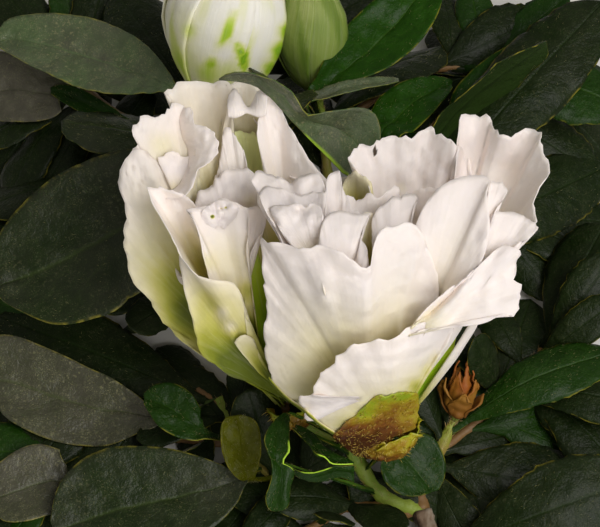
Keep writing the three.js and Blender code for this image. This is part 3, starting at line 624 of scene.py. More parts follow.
# Petals in sight, from the hindmost to the foremost: foot and margin as pixels and nearness
leftPetals = {
    # painted shade: this petal lies in shade behind the others and is coloured olive
    "oliveShade": dict(foot=(264, 320, -24), belly=-1.5, ruffle=0.3, greenAndShade=0.32, margin=[
        (222, 130, -18), (224, 100, -18), (232, 84, -18.6), (246, 80, -18.6), (258, 86, -18.4),
        (266, 100, -18), (270, 118, -17), (266, 150, -16)]),
    "shade": dict(foot=(262, 330, -22), belly=-1, ruffle=0.2, greenAndShade=0.48, margin=[
        (214, 176, -15.4), (218, 145, -15.8), (221, 122, -16), (226, 112, -16), (240, 108, -16),
        (254, 108, -15.8), (262, 118, -15.4), (268, 150, -14.6)]),
    # painted light: the lime in this shaded gap is made lighter than the petal's own
    "limeGap": dict(foot=(268, 350, -23), belly=0, ruffle=0.4, greenAndShade=-0.5, finish=1, margin=[
        (230, 176, -13.6), (231, 150, -14.2), (233, 136, -14.8), (240, 131, -15), (248, 133, -15),
        (256, 134, -14.6), (262, 150, -13.8), (270, 178, -13)]),
    # painted shade: the shaded inside of this cupped back petal is coloured greener and darker
    "backInner": dict(foot=(262, 372, -28), belly=-3.2, ruffle=0.35, greenAndShade=0.3,
            bumps=[(207, 106, -1.2, 14)], margin=[
        (168, 190, -12.5), (160, 160, -12.5), (164, 136, -12.5), (168, 118, -12.8), (170, 108, -12.6),
        (172.5, 101, -12.4), (168, 98, -12), (164, 94, -11.8), (166, 91.5, -12), (172, 90, -12.8),
        (176, 85, -13.8), (181, 82, -14.8), (192, 82, -15.6), (205, 82, -16.2), (214, 82, -16.4),
        (222, 82, -16.2), (229, 83, -16), (233, 87, -16), (229, 95, -15.8), (227, 108, -15.6),
        (224.5, 120, -15.2), (222, 140, -14.8), (219, 165, -14), (213, 185, -13)]),
    "yellowGap": dict(foot=(240, 310, -18), belly=0, ruffle=0.3, greenAndShade=0.44, margin=[
        (188, 204, -11.6), (190, 182, -12), (199, 166, -12.6), (212, 157, -13), (220, 148, -13.2),
        (223, 168, -12.8), (217, 190, -12.2)]),
    "backRight": dict(foot=(300, 384, -25), belly=2.0, peak=0.6, ruffle=0.3, greenAndShade=0.06,
            bumps=[(283, 125, -0.9, 9), (276, 108, 0.7, 7)], margin=[
        (262, 225, -11), (265, 195, -9.6), (267.5, 175, -9), (265, 166, -8.8), (261.5, 154, -8.6),
        (258, 141, -8.6), (257, 129, -8.8), (258.5, 118, -9.2), (262, 108, -10), (262, 96, -10.8),
        (264, 90.5, -11), (270, 93, -11), (276, 98, -11), (280, 105, -10.8), (284, 115, -10.4),
        (290, 128, -9.8), (300, 144, -9), (312, 163, -8.4), (323, 177, -8), (338, 205, -8),
        (334, 270, -13)]),
    "curledTop": dict(foot=[(266, 116, -8.6), (258, 117, -9), (247, 113.5, -9.6), (241, 116, -9.6),
            (235, 118, -9.6), (228, 117, -9.8)], belly=1.2, ruffle=0.25, crinkle=0.12, greenAndShade=-0.8,
            size=(18, 50), margin=[
        (268, 92, -10.6), (263, 90, -10.8), (257.5, 93, -11.2), (252, 103, -11.4), (248.5, 107.5, -11.4),
        (245.5, 105.5, -11.6), (240.5, 97, -12), (236, 90, -12.4), (231, 89.5, -12.4), (227.5, 99, -11.4)]),
    # painted shade: the tint inside the fold darkens the cream where the fold is shaded
    "topLeft": dict(foot=(215, 290, -15), belly=-2.6, ruffle=0.45, greenAndShade=0.14, bumps=[(144, 132, 0.8, 7),
            (165, 140, -1.6, 15)], tintsAndShading=[(163, 143, 0.2, 15)], margin=[
        (126, 178, -10), (128, 160, -9.6), (131, 152, -9.2), (137.5, 145.5, -8.6), (138, 142, -8.4),
        (134, 137.5, -8), (133, 131, -8), (137, 126, -8.2), (140, 122, -8.4), (141, 117.5, -8.6),
        (146, 115.5, -9), (152, 118, -9.6), (158, 118.5, -10.2), (163, 115, -10.8), (168, 109, -11.4),
        (172, 103, -12), (180, 104, -12.2), (188, 112, -12), (194, 128, -11.4), (196, 150, -10.6),
        (190, 176, -9.6), (184, 204, -9)]),
    # painted shade: the greener lower side and the broad darker tints stand for the shade on this side of the
    # bloom
    "outerLeft": dict(foot=(285, 400, -28), belly=4, peak=0.45, ruffle=0.4, greenAndShade=0.24, tooth=0.35,
            size=(36, 76), bumps=[(145, 150, 0.6, 6), (184, 300, -0.9, 9)], room=0.06,
            tintsAndShading=[(187, 312, 0.4, 24), (172, 280, 0.2, 18), (150, 255, 0.13, 45)], margin=[
        (205, 358, -15), (197, 352, -15.4), (190, 347, -15.8), (180, 340, -16), (174, 334, -16),
        (171, 328, -16), (163, 323, -16), (160, 317, -16), (153, 307, -15.8), (150, 300, -15.4),
        (138, 288, -15), (132, 280, -14.6), (128, 268, -14), (126, 255, -13.4), (123, 240, -12.4),
        (124, 236, -12.2), (123, 232, -12.2), (125, 225, -12), (128, 221, -11.8), (127, 218, -11.8),
        (125, 210, -11.6), (124, 202, -11.4), (121, 195, -11.2), (119, 185, -11), (120, 175, -10.6),
        (122, 165, -10.4), (126, 158, -10), (131, 151.5, -9.6), (138, 149, -10.6, 0.02),
        (147, 152, -11, 0.02), (156, 161, -11.4, 0.02), (168, 176, -11.6, 0.02), (180, 196, -11.6, 0.02),
        (190, 230, -12), (196, 290, -13), (200, 335, -15)]),
    "pointed": dict(foot=(262, 330, -20), belly=2.2, peak=0.7, ruffle=0.15, greenAndShade=0.08, margin=[
        (206, 200, -10), (213, 184, -10.4), (220, 160, -10.8), (222, 140, -11), (223.5, 131, -11.2),
        (226, 127, -11.4), (230, 127, -11.4), (233, 134, -11.2), (238, 141, -10.8), (243, 148, -10.4),
        (246, 160, -10), (248, 172, -9.8), (252, 192, -9.6)]),
    "bulge": dict(foot=(258, 335, -19), belly=2.6, peak=0.75, ruffle=0.2, greenAndShade=0.0,
            tintsAndShading=[(250, 200, 0.28, 9)], margin=[
        (190, 226, -8.6), (194, 205, -8.2), (200, 191, -8.2), (208, 188, -8.4), (213, 182, -8.6),
        (219, 175, -8.8), (228, 170, -8.8), (240, 168, -9), (250, 170, -9), (257, 180, -9),
        (262, 196, -9.4), (268, 225, -10.2)]),
    "bowTie": dict(foot=(177, 196, -10, 0.05), belly=0.5, ruffle=0.15, room=0.1, greenAndShade=-0.3, size=(26, 44),
            margin=[
        (171, 189, -10, 0.1), (164, 173, -10, 0.25), (157, 158, -10, 0.5), (160, 154, -9.6, 0.9),
        (172, 152, -9, 1.2), (180, 155, -8.6, 1.2), (184, 158, -8, 1.1), (191, 159.5, -8, 0.8),
        (193, 168, -8, 0.3), (188, 182, -8, 0.1), (183, 193, -8, 0.05)]),
    "curlLobe": dict(foot=[(184, 108, -11, -0.1), (180, 118, -11, -0.1), (181, 130, -11, -0.1),
            (185, 142, -11, -0.1), (188, 152, -11, -0.1), (189, 162, -11, -0.1), (186, 174, -11, -0.1),
            (178, 186, -11, -0.1), (164, 194, -11, -0.1)], belly=1.0, ruffle=0.35, crinkle=0.16, greenAndShade=-0.9,
            room=0.06, size=(26, 64), margin=[
        (190, 107, -11), (193, 113, -10.6), (194, 124, -9.8), (200, 125, -9.2), (208, 128, -8.6),
        (214, 134, -8), (219, 144, -7.6), (218.5, 153, -7.4), (214, 160, -7.2), (205, 165, -7),
        (198, 170, -6.8), (194.5, 180, -6.6), (192, 188, -6.6), (186, 195, -6.6), (178, 199, -6.8),
        (166, 199, -7.4)]),
    # painted shade: the greener lines inside the cup stand for its shaded creases
    "cupLeft": dict(foot=(228, 318, -11), belly=-2.2, ruffle=0.2, roll=-0.5, greenAndShade=0.06,
            tintsAndShading=[(192, 236, 0.1, 8), (196, 250, 0.12, 8), (201, 264, 0.16, 8)], margin=[
        (200, 277, -2.5), (193, 272, -2.4), (188, 266, -2.2), (182, 259, -2.4), (178, 250, -2.6),
        (172, 238, -3), (165, 225, -3.6), (158, 213, -4.2), (152, 203, -5), (150, 195, -5.6),
        (149, 188.5, -6.2), (155, 187.5, -6.8), (161, 188.5, -7), (166, 190, -7.2), (172, 190, -7.4),
        (180, 192, -7.8), (190, 200, -8.4), (199, 216, -8.4), (203, 250, -8.4)]),
    "limeSlit": dict(foot=(278, 384, -24), belly=0, ruffle=0.2, greenAndShade=0.3, finish=1, margin=[
        (241, 300, -11), (241, 268, -9.4), (244, 246, -8), (252, 236, -7.6), (262, 230, -8),
        (276, 236, -9.4), (288, 262, -12), (286, 310, -15), (284, 350, -19)]),
    "limeCorner": dict(foot=(286, 330, -14), belly=0, ruffle=0.2, greenAndShade=0.42, margin=[
        (255, 244, -8.8), (256, 218, -9), (262, 200, -9), (274, 204, -8.6), (284, 222, -8.4),
        (288, 248, -9)]),
    "columnRight": dict(foot=(243, 305, -9), belly=0.5, ruffle=0.3, greenAndShade=-0.1, size=(24, 36), margin=[
        (250, 262, -5.6), (251.5, 250, -4.8), (258, 238, -4.6), (265, 226, -5), (266, 214, -5.2),
        (262, 209, -5.4), (256, 207, -5.4), (250, 207, -5), (243, 208, -4.8)]),
    # partly painted shade: the broad tint darkens the column's face where it is shaded; the narrow tints are
    # lime patches of the petal
    "column": dict(foot=(264, 386, -25), belly=5, peak=0.5, ruffle=0.25, greenAndShade=0.1,
            bumps=[(238, 230, 0.5, 9), (226, 258, -0.4, 7), (212, 240, 0.4, 8)], tintsAndShading=[(249, 290, 0.3, 10),
            (204, 264, 0.3, 9), (252, 330, 0.35, 14), (225, 206, 0.1, 8), (226, 250, 0.12, 24)],
            size=(38, 72), margin=[
        (263, 376, -21), (259, 350, -14.4), (256.5, 325, -11), (253.5, 300, -8), (249.5, 276, -5.8),
        (246.5, 256, -4.4), (247, 240, -4), (248, 225, -4), (249, 213, -4.2), (247, 206.5, -4.6),
        (238, 203.5, -4.4), (228, 201, -4.6), (220, 199.5, -5), (214, 200.5, -4.8), (208, 204, -4.2),
        (200, 206.5, -3.6), (192, 208, -3.2), (187.5, 212, -3), (191, 216, -2.8), (195, 223, -2.6),
        (199, 236, -2.4), (203, 255, -2.6), (210, 282, -4), (220, 315, -8), (232, 345, -13)]),
    # partly painted shade: the holes of the rosette are dented and coloured dark green, the green of the petals
    # inside with the shade in them
    "scroll": dict(foot=(220, 230, -3.4, -0.3), belly=0.1, ruffle=0.05, crinkle=0.05, tooth=0.1, greenAndShade=-0.9,
            room=0.0, size=(34, 60), bumps=[(226, 207.5, -1.2, 2.4), (221, 208.5, -1.0, 2.2),
            (212, 216, -1.3, 2.4), (219, 213, 0.5, 3), (233, 207, 0.4, 3), (207, 212, 0.4, 3),
            (222, 218, -0.4, 3)], tintsAndShading=[(226, 207.5, 1.7, 2.6), (221, 208.5, 1.4, 2.2),
            (212, 216.5, 1.8, 2.8), (216, 202, 1.0, 3)], margin=[
        (206, 224, -3, -0.3), (201, 216, -3, -0.2), (204, 209, -3, 0.1), (210, 204, -3.6, 0.3),
        (217, 201, -4, 0.4), (226, 201, -4, 0.4), (234, 203.5, -3.8, 0.2), (239, 209, -3.6, -0.1),
        (236, 217, -3.4, -0.3), (229, 224, -3.2, -0.3)]),
    # painted shade and light: the greener foot and broad tints darken the shaded lower part, and the two small
    # negative tints paint the light on the raised lobe
    "frontLeft": dict(foot=(290, 402, -27), belly=3, peak=0.5, ruffle=0.15, greenAndShade=0.27,
            bumps=[(200, 320, 0.6, 10), (226, 322, 0.55, 7), (232, 334, 0.4, 5)],
            tintsAndShading=[(232, 369, 0.5, 28), (262, 384, 0.5, 16), (200, 345, 0.25, 20), (205, 305, 0.25, 34),
            (222, 313, -0.3, 7), (230, 327, -0.35, 7)], margin=[
        (266, 380.5, -22), (255, 379.5, -20), (243, 379, -18.4), (230, 376, -16.4), (222, 370, -14.6),
        (215, 364, -13.4), (207, 360, -12.6), (200, 351, -11.5), (196, 337, -10), (190, 311, -8),
        (185, 290, -6.5), (181, 266, -5), (180, 256.5, -3.4), (184, 261, -2.4), (188, 266, -2),
        (193, 272, -1.6), (198, 276, -1.2), (204, 278.5, -1), (214, 279.5, -1.2), (226, 281, -2),
        (236, 286, -3.2), (243, 300, -5.5), (248, 340, -10), (262, 370, -18)]),
    "yellowEdge": dict(foot=(281, 391, -24), belly=1.4, ruffle=0.15, tooth=0.6, greenAndShade=0.5, size=(24, 40),
            margin=[
        (272, 382, -21.4), (266, 378.5, -19.6), (258, 372, -16), (250, 363, -13.4), (243, 355, -12),
        (238, 348, -11), (235.5, 343, -10.4), (239, 338, -10), (245, 335, -9.8), (251, 336, -9.8),
        (255, 342, -10.6), (258, 354, -12.4), (263, 367, -16), (272, 381, -20)]),
}
rightPetals = {
    # painted shade: the tint in the dent darkens the shaded hollow
    "wavedBack": dict(foot=(430, 350, -12), belly=-3.4, peak=0.7, ruffle=0.7, rufflePower=2.5, crinkle=0.26,
            greenAndShade=-0.06, size=(42, 84), bumps=[(504, 168, -2.0, 16), (464, 134, 1.0, 8),
            (522, 160, 0.7, 10)], tintsAndShading=[(500, 168, 0.12, 22)], margin=[
        (446, 260, -7), (452, 200, -9), (456, 165, -9.6), (457, 143, -9.4), (459, 130, -10),
        (459.5, 120, -11), (461, 114.5, -11.8), (466, 113, -12.4), (472, 114, -12.8), (480, 116.5, -12.8),
        (487, 117.5, -12.4), (491.5, 120, -11.6), (493, 127, -10), (497, 133, -8.4), (502, 136.5, -7.4),
        (508, 136.5, -7.2), (515, 134, -8), (521, 129.5, -9), (527, 127.5, -9.8), (533, 129, -9.4),
        (539, 132.5, -8.2), (541.5, 136, -7.2), (539.5, 141, -6.4), (540, 147, -5.6), (545, 155, -4.6),
        (549, 163, -3.6), (550.5, 170, -2.6), (548, 176, -1.4), (543, 182, -0.6), (538, 189, 0.2),
        (536, 196, 0.4), (533, 203, 0.2), (534, 209, 0.6), (536, 217, 1.2), (535, 224, 2), (520, 240, 2),
        (500, 255, 1)]),
    "backLeft": dict(foot=(400, 350, -12), belly=-2.2, peak=0.65, ruffle=0.8, rufflePower=2, crinkle=0.28,
            greenAndShade=-0.04, size=(40, 84), bumps=[(425, 162, 0.5, 14), (392, 168, 0.4, 12)],
            # painted shade: the small hole near the margin is coloured dark
            holeShades=[(375.4, 149, 1.3, 2.4), (375.2, 153.5, 1.1, 2.2)], tintsAndShading=[(402, 187, 0.22, 6)], margin=[
        (384, 250, -6), (374, 215, -6), (371, 200, -6), (370, 190, -6.2), (366, 180, -6.6), (360, 172, -7),
        (354, 166, -7.4), (348.5, 161, -7.8), (349, 156.5, -8), (354, 151, -8.6), (360, 146, -9.2),
        (367, 144.5, -9.8), (374, 144, -10), (378.5, 141, -10.2), (384, 136.5, -10.6), (390, 134, -11),
        (396, 134.5, -10.8), (400, 136.5, -10.4), (406, 136.5, -10.2), (412, 134, -10.6), (418, 132, -11),
        (424, 129.5, -11.6), (429.5, 127.5, -12), (434, 130, -11.6), (438, 134.5, -10.8),
        (444, 136.5, -10.4), (451, 140, -9.8), (457, 143.5, -9.4), (462, 150, -9.6, 0.05),
        (466, 170, -9, 0.05), (466, 190, -8, 0.05)]),
    "back": dict(foot=(418, 340, -14), belly=-1, ruffle=0.5, crinkle=0.3, greenAndShade=-0.1, margin=[
        (400, 250, -8), (398, 212, -7), (404, 196, -7), (418, 190, -7.4), (434, 188, -7.6),
        (450, 190, -7.2), (462, 196, -6), (470, 215, -4)]),
    # painted shade: this petal fills a shaded hollow and is coloured olive-grey
    "gapFlap": dict(foot=(362, 290, -16), belly=-0.5, ruffle=0.2, greenAndShade=0.5, size=(26, 36), margin=[
        (338, 215, -10), (342, 190, -10), (346, 178, -10.2), (356, 170, -10.4), (366, 176, -10),
        (373, 190, -9.6), (376, 215, -9)]),
    "spikeBehind": dict(foot=(356, 300, -8), belly=1.5, ruffle=0.4, crinkle=0.2, greenAndShade=-0.12, margin=[
        (338, 228, -3), (341, 208, -3.8), (346, 200, -4.2), (352, 199.5, -4.4), (360, 199, -4.4),
        (367, 197, -4.2), (373, 196, -4.2), (380, 197, -4.2), (388, 193, -4.6), (398, 188, -4.8),
        (402, 210, -3.4), (398, 240, -1)]),
    "centreLeft": dict(foot=(335, 335, -4), belly=3.4, peak=0.7, ruffle=0.6, crinkle=0.34, tooth=0.35,
            greenAndShade=-0.2, size=(42, 70), margin=[
        (290, 262, 3), (281, 243, 2.6), (278, 235, 2.4), (273, 226, 2), (268, 217, 1.6), (262, 209, 1),
        (257, 202, 0.4), (257, 196, 0), (256, 187, -1), (250, 180, -1.8), (254, 176, -2.4),
        (258, 171.5, -3), (270, 174, -3.4), (281, 178, -3.4), (291, 181, -3.2), (300, 178, -3),
        (307, 175.5, -3), (315, 175, -3), (322, 177, -2.4), (325, 188, -1), (325, 205, 1), (322, 230, 3)]),
    "spike": dict(foot=(340, 320, -2), belly=2, peak=0.7, ruffle=0.25, greenAndShade=-0.15, margin=[
        (318, 240, 3), (320, 212, 1), (324, 195, -1), (328, 178, -2.4), (333, 172, -3.2),
        (338, 170.5, -3.4), (341, 176, -2.8), (342.5, 187, -1.8), (346, 196, -1), (352, 206, 0),
        (360, 214, 0.6), (362, 240, 2)]),
    "ridge": dict(foot=(318, 285, 0), belly=1.6, peak=0.7, ruffle=0.5, crinkle=0.3, tooth=0.3, greenAndShade=-0.3,
            size=(34, 60), margin=[
        (284, 246, 4), (274, 226, 3), (266, 212, 2), (260, 199, 1), (262, 188, 0), (272, 186, -0.4),
        (284, 189, -0.6), (294, 193, -0.6), (304, 195, -0.4), (314, 193, -0.6), (322, 191, -0.6),
        (326, 198, 0.6), (324, 222, 3)]),
    "innerFold": dict(foot=(318, 268, 4), belly=1.0, peak=0.7, ruffle=0.5, crinkle=0.34, tooth=0.35,
            greenAndShade=-0.3, size=(34, 54), margin=[
        (290, 244, 5), (282, 234, 4.4), (276, 222, 3.8), (270, 209, 2.8), (278, 204, 2.4), (286, 206, 2.6),
        (295, 203, 2.6), (304, 206, 3), (313, 203, 3), (322, 209, 4), (324, 230, 5.4)]),
    "greenGroove": dict(foot=(386, 330, -4), belly=0, ruffle=0.3, greenAndShade=0.42, size=(28, 32), margin=[
        (362, 270, 2), (358, 240, 1), (362, 216, 0), (376, 214, -0.4), (384, 240, 1), (386, 275, 3)]),
    "tip": dict(foot=(392, 320, -1), belly=2.2, peak=0.7, ruffle=0.12, crinkle=0.1, greenAndShade=-0.12, margin=[
        (373, 262, 4), (372, 240, 3), (372, 224, 1.6), (376, 212, 0.8), (386, 204, 0), (399, 197, -0.8),
        (410, 192, -1.4), (418, 195, -1.2), (416, 203, -0.4), (412, 213, 0.8), (414, 232, 2.4),
        (418, 256, 4)]),
    "centre": dict(foot=(338, 335, 0), belly=3.4, peak=0.65, ruffle=0.2, crinkle=0.14, tooth=0.12,
            greenAndShade=-0.16, tintsAndShading=[(366, 228, 0.3, 6)], margin=[
        (318, 268, 7), (319, 240, 6.4), (323, 222, 5.2), (330, 213, 4), (340, 211, 3.6), (350, 213, 3.4),
        (357, 214, 3.2), (365, 213.5, 2.8), (370.5, 213.6, 2.6), (366, 221, 3.4), (362, 232, 5),
        (362, 240, 5.6), (367, 247, 6.6), (368, 256, 7.2), (369, 268, 7.6)]),
    "lobe": dict(foot=(470, 280, 1), belly=1.2, peak=0.6, ruffle=0.2, greenAndShade=-0.3, size=(28, 40), margin=[
        (482, 236, 4), (486, 205, 3.4), (490, 184, 2.4), (496, 181.5, 2.2), (502, 184, 2.4), (507, 191, 3),
        (504, 198, 3.4), (498, 206, 4), (494, 214, 4.4), (487, 232, 5.4)]),
    "rightRuffle": dict(foot=(446, 335, -4), belly=3, peak=0.65, ruffle=0.2, greenAndShade=-0.12, margin=[
        (474, 262, 4), (482, 232, 4), (489, 218, 3.6), (496, 212.5, 3.2), (505, 211, 2.8), (515, 214, 2.8),
        (525, 217, 3), (532, 219, 3.4), (537, 225, 4), (536.5, 231, 4.6), (529, 237, 5), (515, 245, 5.4),
        (501, 262, 5.4), (484, 286, 4.4)]),
    # painted shade: the broad tint darkens this petal a little where its folds are shaded
    "broad": dict(foot=(392, 415, -17), belly=6, peak=0.62, ruffle=0.15, crinkle=0.1, tooth=0.1,
            greenAndShade=-0.04, size=(40, 66), bumps=[(476, 235, -0.3, 7), (470, 255, -0.3, 7)],
            tintsAndShading=[(464, 238, 0.1, 26)], margin=[
        (402, 340, -1), (402, 300, 1), (406, 262, 2), (414, 230, 2.8), (424, 206, 3), (438, 189, 2.8),
        (449, 181, 2.6), (460, 177, 2.2), (474, 175.5, 2), (485, 176, 2.2), (490, 180, 2.8),
        (488, 187, 3.6), (486.5, 196, 4.4), (489, 212, 5), (490, 228, 5.4), (486, 250, 6), (478, 268, 6.2),
        (464, 288, 6.2), (446, 304, 5.4), (430, 322, 4), (418, 334, 1)]),
    "front": dict(foot=(376, 424, -22), belly=7, peak=0.48, ruffle=0.45, rufflePower=8, greenAndShade=0.04,
            tooth=0.6, size=(52, 100), room=0.4, bumps=[(300, 251, 0.9, 12), (330, 254, 0.9, 12),
            (354, 264, 0.6, 9), (320, 282, -0.5, 22), (372, 300, 0.8, 16)], margin=[
        (322, 422, -19), (299, 406, -17), (287, 398, -15), (278, 388, -13), (270, 376, -10.5),
        (266, 350, -6.5), (264, 324, -3), (267, 308, -1.5), (265, 290, 0), (262.5, 258, 2.5), (261, 236, 4),
        (265, 241, 5), (271, 243.5, 6), (285, 244, 7), (300, 247, 8.2), (320, 245, 9.2), (333, 249, 9.8),
        (345, 254, 10), (356, 262, 10), (366, 268, 9.6), (371, 262, 9.2), (373, 248, 9), (376, 238, 8.6),
        (382, 230, 8), (390, 225.5, 7.4), (398, 223.5, 6.8), (406, 222.5, 6.2), (413, 223.5, 5.8),
        (419, 227, 5.4), (423, 234, 5.2), (427, 246, 5, 0.3), (433, 262, 4.6, 0.15), (438, 280, 4, 0.08),
        (438, 300, 2.6, 0.05), (430, 322, 1.4, 0.04), (420, 345, -3), (408, 385, -12)]),
    "limeTube": dict(foot=(410, 406, -22), belly=0, ruffle=0.1, greenAndShade=0.5, finish=1, size=(26, 36), margin=[
        (412, 384, -15), (424, 368, -13), (436, 352, -11), (448, 338, -9.4), (456, 336, -9.6),
        (452, 352, -12), (440, 368, -15), (426, 388, -19)]),
    "tubeRight": dict(foot=(416, 406, -21), belly=1, peak=0.5, ruffle=0.06, crinkle=0.05, tooth=0.06,
            greenAndShade=-0.1, size=(30, 36), room=0.2, margin=[
        (437, 375, -15.4), (447, 361, -12), (456, 346, -9), (464, 333, -7), (470, 324, -5), (478, 323, -5),
        (473, 333, -7), (466, 344, -9.4), (457, 358, -12), (447, 371, -14.6), (436, 385, -17)]),
    "tubeLeft": dict(foot=(398, 412, -20), belly=3, peak=0.5, ruffle=0.08, crinkle=0.08, tooth=0.08,
            greenAndShade=-0.02, tintsAndShading=[(430, 372, 0.3, 10), (420, 388, 0.35, 9), (444, 350, 0.2, 8)], room=0.2,
            margin=[
        (386, 396, -12), (388, 370, -5), (398, 345, 0), (414, 334, 1.4), (432, 328, 1.4), (448, 324, 1.2),
        (463, 323, 0.4), (454, 340, -4), (443, 355, -7.6), (431, 371, -11.4), (418, 390, -16)]),
    "flap": dict(foot=(392, 432, -19), belly=4.4, peak=0.5, ruffle=0.25, tooth=0.45, greenAndShade=-0.02,
            size=(42, 110), tintsAndShading=[(436, 358, 0.22, 8), (427, 370, 0.25, 8), (416, 386, 0.3, 9),
            (345, 428, 0.15, 14), (322, 425, 0.1, 10)], margin=[
        (412, 396, -17, 0.04), (421, 381, -14, 0.04), (431, 369, -11, 0.04), (441, 355, -7, 0.04),
        (449, 341, -3, 0.04), (455, 322, 0.6, 0.04), (440, 321, 2.6), (424, 323, 4), (412, 326, 5),
        (405, 330, 5.6), (398, 336, 6), (390, 338.5, 6), (378, 340, 6), (366, 342, 5.6), (360, 344, 5.2),
        (351, 346.5, 4.6), (345, 351, 3.8), (336.5, 356, 2.8), (335, 363, 2), (329, 367, 1.2),
        (323, 373, 0.2), (316.5, 378, -1), (315, 385, -2), (314, 394, -3.4), (311, 402, -5),
        (309, 412, -7.6), (314, 421, -10), (322, 428, -12), (333, 434, -14), (350, 440, -17)]),
    "flapTip": dict(foot=(362, 398, -7, -0.3), belly=0.5, ruffle=0.3, tooth=0.4, greenAndShade=-0.8, room=0.05,
            size=(24, 60), margin=[
        (345, 396, -5, 0.05), (330, 398.5, -4.6, 0.1), (318, 397, -4, 0.2), (313, 395, -4, 0.3),
        (306, 396, -4.4), (297, 396.5, -4.8), (300, 402, -5.8), (304, 410, -6.6), (304.5, 418, -7.2),
        (309, 421, -7.8), (318, 419.5, -8), (328, 413, -8.4, 0.4), (337, 406, -8.4, 0.3),
        (345, 402.5, -8.4, 0.1)]),
    # painted shade: the broad tint darkens the limb where it is shaded grey
    "limb": dict(foot=(408, 334, 2), belly=1.4, peak=0.6, ruffle=0.35, tooth=0.45, greenAndShade=-0.34,
            size=(34, 72), bumps=[(452, 308, -0.9, 12), (488, 300, 0.8, 10), (505, 270, 0.5, 9)],
            tintsAndShading=[(489, 267, 0.16, 4), (486, 296, 0.1, 24)], margin=[
        (420, 315, 6), (440, 296, 6.2), (462, 280, 6.2), (482, 262, 5.6), (500, 246, 4.6), (508, 245, 4),
        (513.5, 246.5, 3.6), (519.5, 253, 3.2), (519, 257, 3), (516, 262, 3), (516, 271, 3.4),
        (515, 280, 4), (519, 284, 3.8), (521.5, 289, 3.8), (520, 296, 4.2), (517.5, 302, 4.6),
        (517, 311, 5), (514, 316.5, 5), (509, 316, 5.2), (505, 313.5, 5.4), (496, 317.5, 5.4),
        (491, 320.5, 5.4), (484, 323, 5.4), (478, 324.5, 5.2), (462, 324, 5), (446, 325.5, 4.8),
        (434, 328, 4.4), (424, 329, 4), (415, 333, 3.4)]),
    "greenRim": dict(foot=[(268, 379, -14), (278, 391, -16), (290, 401.5, -18), (304, 412, -19),
            (318, 424, -20), (334, 435, -21)], belly=0.2, ruffle=0.1, crinkle=0.05, tooth=0.05, greenAndShade=0.45,
            size=(8, 40), margin=[
        (269, 377, -14), (280, 389.5, -15.6), (292, 399.5, -17.4), (307, 410, -18.4), (320, 422, -19.4),
        (336, 432, -20.4)]),
}

# Rings of petals behind and round those in sight: angle, shares of spread and height, and greenness
rings = {
    "left": [(18, 0.98, 0.93, 0.0), (60, 0.97, 0.90, 0.0), (102, 0.98, 0.92, 0.0), (146, 0.97, 0.93, 0.0),
             (186, 0.96, 0.90, 0.1), (40, 0.78, 0.84, 0.05), (84, 0.76, 0.85, 0.05), (128, 0.76, 0.83, 0.05),
             (340, 0.86, 0.80, 0.15), (300, 0.66, 0.66, 0.2), (170, 0.66, 0.76, 0.15), (60, 0.5, 0.76, 0.2),
             (110, 0.46, 0.74, 0.25), (200, 0.4, 0.66, 0.25), (320, 0.42, 0.64, 0.3), (20, 0.4, 0.7, 0.25)],
    "right": [(4, 0.97, 0.92, 0.0), (40, 0.97, 0.93, 0.0), (76, 0.98, 0.93, 0.0), (112, 0.97, 0.93, 0.0),
              (150, 0.97, 0.92, 0.0), (188, 0.95, 0.88, 0.0), (334, 0.9, 0.84, 0.0), (22, 0.76, 0.86, 0.05),
              (64, 0.74, 0.88, 0.05), (108, 0.74, 0.86, 0.05), (150, 0.7, 0.84, 0.08), (200, 0.6, 0.72, 0.15),
              (320, 0.6, 0.68, 0.2), (40, 0.48, 0.8, 0.2), (100, 0.44, 0.8, 0.2), (160, 0.42, 0.74, 0.25),
              (240, 0.4, 0.66, 0.25), (300, 0.4, 0.62, 0.25), (0, 0.42, 0.72, 0.25)],
}
bloomSeeds = {"inSight": 100, "ring": 600, "side": 2000, "petal": 10}
laid = Laid()


def makeBlooms():
    piles = {}
    for number, (side, petals) in enumerate((("left", leftPetals), ("right", rightPetals))):
        piles[side] = Pile(*petalForm["marks"])
        first = bloomSeeds["inSight"] + bloomSeeds["side"] * number
        for k, shape in enumerate(petals.values()):
            spreadPetal(piles[side], laid, first + bloomSeeds["petal"] * k, **shape)
    pieces = []
    for number, side in enumerate(blooms):
        ring = Pile(*petalForm["marks"])
        first = bloomSeeds["ring"] + bloomSeeds["side"] * number
        for k, (angle, spread, height, greenAndShade) in enumerate(rings[side]):
            seed = first + bloomSeeds["petal"] * k
            addRingPetal(ring, laid, seed, blooms[side], angle, spread, height, greenAndShade)
        white = petalFinish(f"petal_{side}")
        lime = petalFinish(f"lime_petal_{side}", petalLooks["limeStops"])
        inSight = piles[side].make(f"petals_{side}", white, lime)
        behind = ring.make(f"petals_{side}_ring", white)
        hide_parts(f"bloom_{side}")
        for piece in (inSight, behind):
            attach(piece, "root")
            pieces.append(piece)
    return pieces


print("petals")
petalPieces = makeBlooms()


